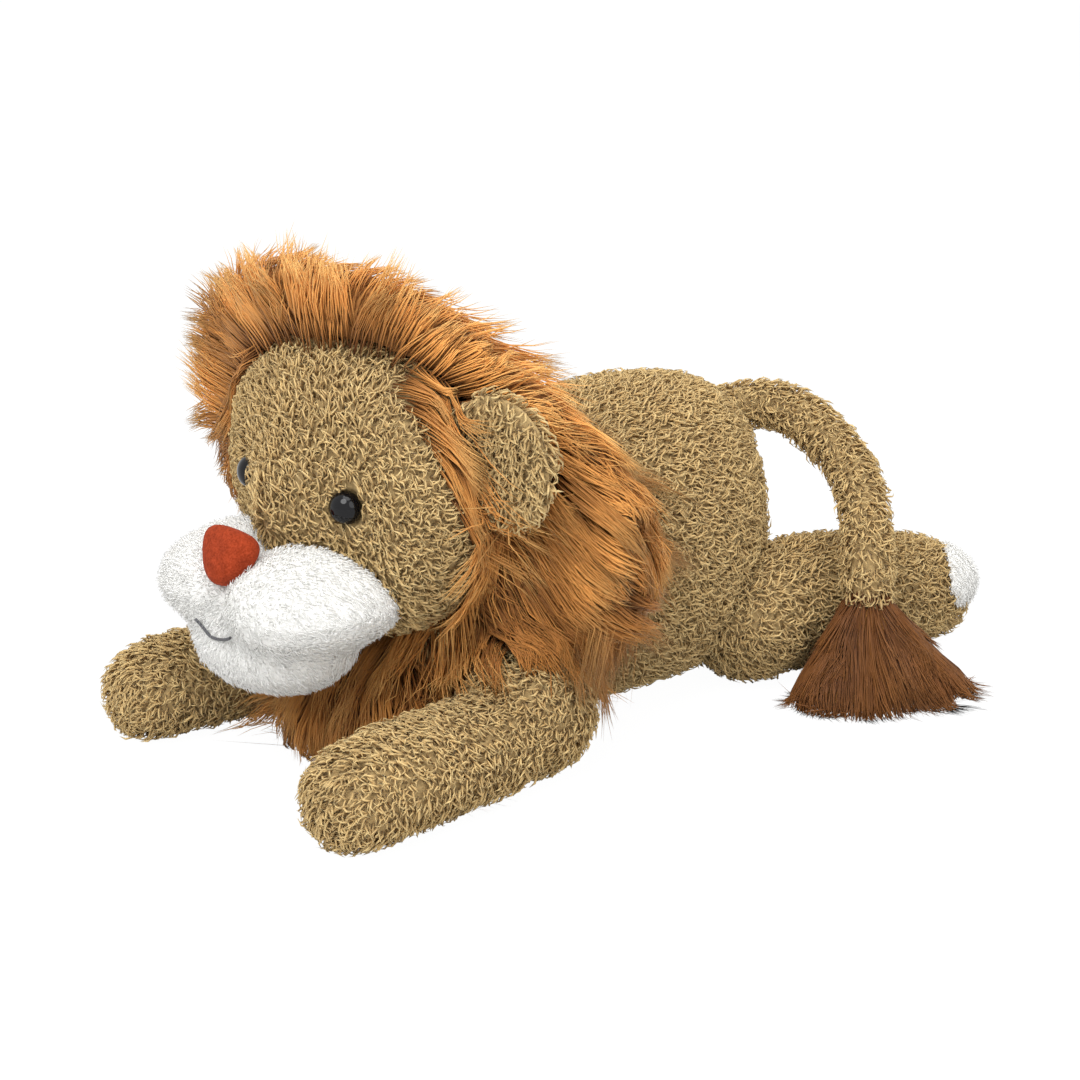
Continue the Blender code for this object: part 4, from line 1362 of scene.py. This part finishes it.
class LION_OT_mane(bpy.types.Operator):
    """Makes the mane round the face and the bib under the chin"""

    bl_idname = "lion.mane"
    bl_label = "Mane"

    def execute(self, context):
        self.crown(looks().mane)
        self.bib(looks().mane)
        return {"FINISHED"}

    def crown(self, look):
        nodes = ("mane_crown", "torso", "head", "mane_bib", "foreleg_left", "foreleg_right")
        form = hair_form("mane_form", nodes, 3.0 * MM, 10, 2.5 * MM, 9 * MM)
        comb, droop, loose, bulge, rooted = mane_comb(*vertex_arrays(form), look.strand_length)
        own = np.argmin(gaps_to(form, nodes), axis=1) == 0
        free = bare_where_covered(form, ("ear_left", "ear_right"), EAR_REACH) * own * rooted
        put_attributes(form, free=free, comb=comb, droop=droop, loose=loose, bulge=bulge)
        lower = {"Rise": 6.0 * MM}
        # Shade and Tip paint light and shade into the parts: the top lighter, painted light as if
        # lit from above and in front; the right side lighter; the near side's tips and the hem
        # darker, painted shade where that hair lies in shadow.
        splits = (
            ("top", lambda c: c.z > MANE_TOP_FROM, {"Shade": 1.7, "Stray": 0.30}),
            (
                "left",
                lambda c: MANE_HEM_TO < c.z <= MANE_TOP_FROM and c.x > 0,
                lower | {"Shade": 1.0, "Tip": 0.88},
            ),
            ("right", lambda c: c.z <= MANE_TOP_FROM and c.x <= 0, {"Shade": 1.4}),
            ("hem", lambda c: c.z <= MANE_HEM_TO and c.x > 0, lower | {"Shade": 0.6, "Tip": 0.72}),
        )
        for i, (part, keep, settings) in enumerate(splits):
            settings["Seed"] = looks().stage.seed + i
            make_long(f"mane_hair_{part}", form, "head", settings, keep)
        for side, sign in SIDES.items():
            self.ear_lock(side, sign)
        long_backing("mane_crown", 4.0 * MM, 2.6 * MM, "head")

    def ear_lock(self, side, sign):
        """The lock that starts at the face's edge and falls over an ear's inner part."""
        nodes = ("head", f"ear_{side}", "mane_crown", "torso", f"foreleg_{side}")
        form = hair_form(f"ear_lock_{side}_form", nodes, 2.2 * MM, 4, 1.2 * MM, 3 * MM)
        points, normals = vertex_arrays(form)
        gaps = gaps_to(form, nodes)
        own = (gaps[:, 0] < ON_FORM) & (gaps[:, 1] > 0.5 * MM) & (points[:, 0] * sign > 0)
        high = np.clip((points[:, 2:3] - 0.100) / 0.040, 0, 1)
        way = np.array((0.56, 0.27, -0.78)) * (1 - high) + np.array((0.66, 0.45, -0.58)) * high
        way[:, 0] *= sign
        way = swirled(lie_down(normals, way), normals, points, math.radians(10))
        level = np.ones(len(points))
        put_attributes(
            form,
            free=own & behind_hairline(points),
            comb=way * (46 * MM - 14 * MM * high),
            droop=np.zeros_like(points),
            loose=level * 0.2,
            bulge=level * 3 * MM,
        )
        settings = {"Loft": 3.0 * MM, "Rise": 5.0 * MM, "Stray": 0.25}
        make_long(f"ear_lock_{side}", form, "head", settings)

    def bib(self, look):
        """The long pile under the chin and round the shoulders' front, which hangs to the floor."""
        nodes = ("mane_bib", "torso", "foreleg_left", "foreleg_right")
        form = hair_form("bib_form", nodes, 2.2 * MM, 4, 2.0 * MM)
        points, normals = vertex_arrays(form)
        x, y, z = points.T
        gaps = gaps_to(form, nodes)
        chest = (gaps[:, 1] < ON_FORM) & (y < -0.060) & (z > 0.034) & (z < 0.095)
        spot = chest | (gaps[:, 0] < ON_FORM)
        off_legs = gaps[:, 2:].min(axis=1) > 2 * MM
        way = np.stack((x * 12, -0.25 + 7 * np.abs(x), np.full(len(x), -1.0)), axis=1)
        way = swirled(lie_down(normals, way), normals, points, math.radians(18))
        reach = np.clip(z + 10 * MM, 16 * MM, look.strand_length * 0.85)[:, None]
        level = np.ones(len(points))
        put_attributes(
            form,
            free=bare_where_covered(form, ("head",), 1 * MM) * spot * off_legs,
            comb=(way + normals * 0.15) * reach,
            droop=np.zeros_like(points) + (0, 0, -look.strand_length * 0.1),
            loose=level * 0.35,
            bulge=level * 3 * MM,
        )
        settings = {"Density": look.strands_per_square_metre * 0.75, "Tip": 0.85}
        make_long("mane_bib_hair", form, "torso", settings)
        long_backing("mane_bib", 2.0 * MM, 2.6 * MM, "torso")


class LION_OT_tassel(bpy.types.Operator):
    """Makes the long-pile tassel on the tail's end"""

    bl_idname = "lion.tassel"
    bl_label = "Tassel"

    def execute(self, context):
        look = looks().mane
        nodes = ("tail_tassel", "tail")
        form = hair_form("tassel_form", nodes, 1.6 * MM, 4, 2.0 * MM)
        points, normals = vertex_arrays(form)
        level = np.ones(len(points))
        own = np.argmin(gaps_to(form, nodes), axis=1) == 0
        put_attributes(
            form,
            free=(own | (points[:, 2] < TASSEL_ABOVE)) * (points[:, 2] > 3 * MM),
            comb=lie_down(normals, points - np.array(TASSEL_TOP)) * look.strand_length * 0.62,
            droop=np.zeros_like(points),
            loose=level * 0.8,
            bulge=level * 0,
        )
        settings = {
            # Shade and Tip darken the tassel: partly its own dark brown, partly painted shade, as it
            # hangs in shade.
            "Shade": 0.25,
            "Tip": 0.2,
            "Gather": 0.65,
            "Density": look.strands_per_square_metre * 1.2,
            "Lock Size": look.lock_size * 0.8,
            "Loft": 2.0 * MM,
            "Rise": 3.0 * MM,
        }
        make_long("tail_tassel_hair", form, "tail", settings)
        long_backing("tail_tassel", 1.6 * MM, 2.2 * MM, "tail")
        return {"FINISHED"}


class LION_OT_stage(bpy.types.Operator):
    """Makes the pale floor, the soft studio lights and the camera"""

    bl_idname = "lion.stage"
    bl_label = "Stage"

    def execute(self, context):
        look = looks().stage
        self.floor(look)
        self.world(context.scene)
        for name, (place, size, power) in LAMPS.items():
            self.light(name, place, size, power * look.light_level)
        self.camera(context.scene)
        context.scene.view_settings.view_transform = "Standard"
        return {"FINISHED"}

    def seen(self, tree):
        """1 where the camera or a reflection looks, 0 for other light."""
        rays = tree.nodes.new("ShaderNodeLightPath").outputs
        mirrored = maths(tree, "MAXIMUM", rays["Is Glossy Ray"], rays["Is Transmission Ray"])
        return maths(tree, "MAXIMUM", rays["Is Camera Ray"], mirrored)

    def floor(self, look):
        """A floor that looks white, with the shadow still on it."""
        mesh = bpy.data.meshes.new("floor")
        with editing(mesh) as bm:
            bmesh.ops.create_grid(bm, x_segments=1, y_segments=1, size=look.floor_size / 2)
        material, tree, shader = new_material("pale_floor")
        dress(tree, shader, FLOOR_COLOUR, 0.9)
        white = node(tree, "ShaderNodeEmission", {"Color": (1, 1, 1, 1), "Strength": FLOOR_WHITE})
        mix = tree.nodes.new("ShaderNodeMixShader")
        share = times(tree, self.seen(tree), FLOOR_WHITE_SHARE)
        for socket, value in zip(mix.inputs, (share, shader.outputs[0], white.outputs[0])):
            put(tree, socket, value)
        end = next(n for n in tree.nodes if n.type == "OUTPUT_MATERIAL")
        tree.links.new(mix.outputs[0], end.inputs["Surface"])
        mesh.materials.append(material)
        linked("floor", mesh)

    def world(self, scene):
        scene.world = bpy.data.worlds.new("studio")
        scene.world.use_nodes = True
        tree = scene.world.node_tree
        background = tree.nodes["Background"]
        background.inputs["Color"].default_value = (1, 1, 1, 1)
        light = maths(tree, "MULTIPLY_ADD", self.seen(tree), 1 - WORLD_LIGHT, WORLD_LIGHT)
        tree.links.new(light, background.inputs["Strength"])

    def light(self, name, place, size, power):
        data = bpy.data.lights.new(name, "AREA")
        data.shape = "DISK"
        data.size = size
        data.energy = power
        lamp = linked(name, data)
        lamp.location = place
        aim = Vector(CAMERA_TARGET) - Vector(place)
        lamp.rotation_euler = aim.to_track_quat("-Z", "Y").to_euler()

    def camera(self, scene):
        data = bpy.data.cameras.new("camera")
        data.lens = CAMERA_LENS
        data.sensor_width = SENSOR_WIDTH
        camera = linked("camera", data)
        back = Vector(CAMERA_BACK).normalized()
        camera.location = Vector(CAMERA_TARGET) + back * CAMERA_DISTANCE
        camera.rotation_euler = back.to_track_quat("Z", "Y").to_euler()
        scene.camera = camera


class LION_PT_panel(bpy.types.Panel):
    """Lists the lion's sizes, colours and makers"""

    bl_idname = "LION_PT_panel"
    bl_label = "Plush Lion"
    bl_space_type = "VIEW_3D"
    bl_region_type = "UI"
    bl_category = "Plush Lion"

    def draw(self, context):
        layout = self.layout
        for operator in OPERATORS:
            layout.operator(operator.bl_idname)
        for group in ("pile", "mane", "muzzle", "eyes", "stage"):
            box = layout.box()
            settings = getattr(looks(), group)
            for key in settings.__annotations__:
                box.prop(settings, key)


OPERATORS = (
    LION_OT_torso,
    LION_OT_head,
    LION_OT_limbs,
    LION_OT_tail,
    LION_OT_muzzle,
    LION_OT_nose,
    LION_OT_eyes,
    LION_OT_mane,
    LION_OT_tassel,
    LION_OT_stage,
)
GROUPS = (LionPile, LionMane, LionMuzzle, LionEyes, LionStage, LionLooks)
CLASSES = (*GROUPS, *OPERATORS, LION_PT_panel)


def register():
    for made in CLASSES:
        bpy.utils.register_class(made)
    bpy.types.Scene.plush_lion = PointerProperty(type=LionLooks)


def unregister():
    del bpy.types.Scene.plush_lion
    for made in reversed(CLASSES):
        bpy.utils.unregister_class(made)


def main():
    register()
    bpy.ops.lion.torso()
    bpy.ops.lion.head()
    bpy.ops.lion.limbs()
    bpy.ops.lion.tail()
    bpy.ops.lion.muzzle()
    bpy.ops.lion.nose()
    bpy.ops.lion.eyes()
    bpy.ops.lion.mane()
    bpy.ops.lion.tassel()
    bpy.ops.lion.stage()


if __name__ == "__main__":
    main()
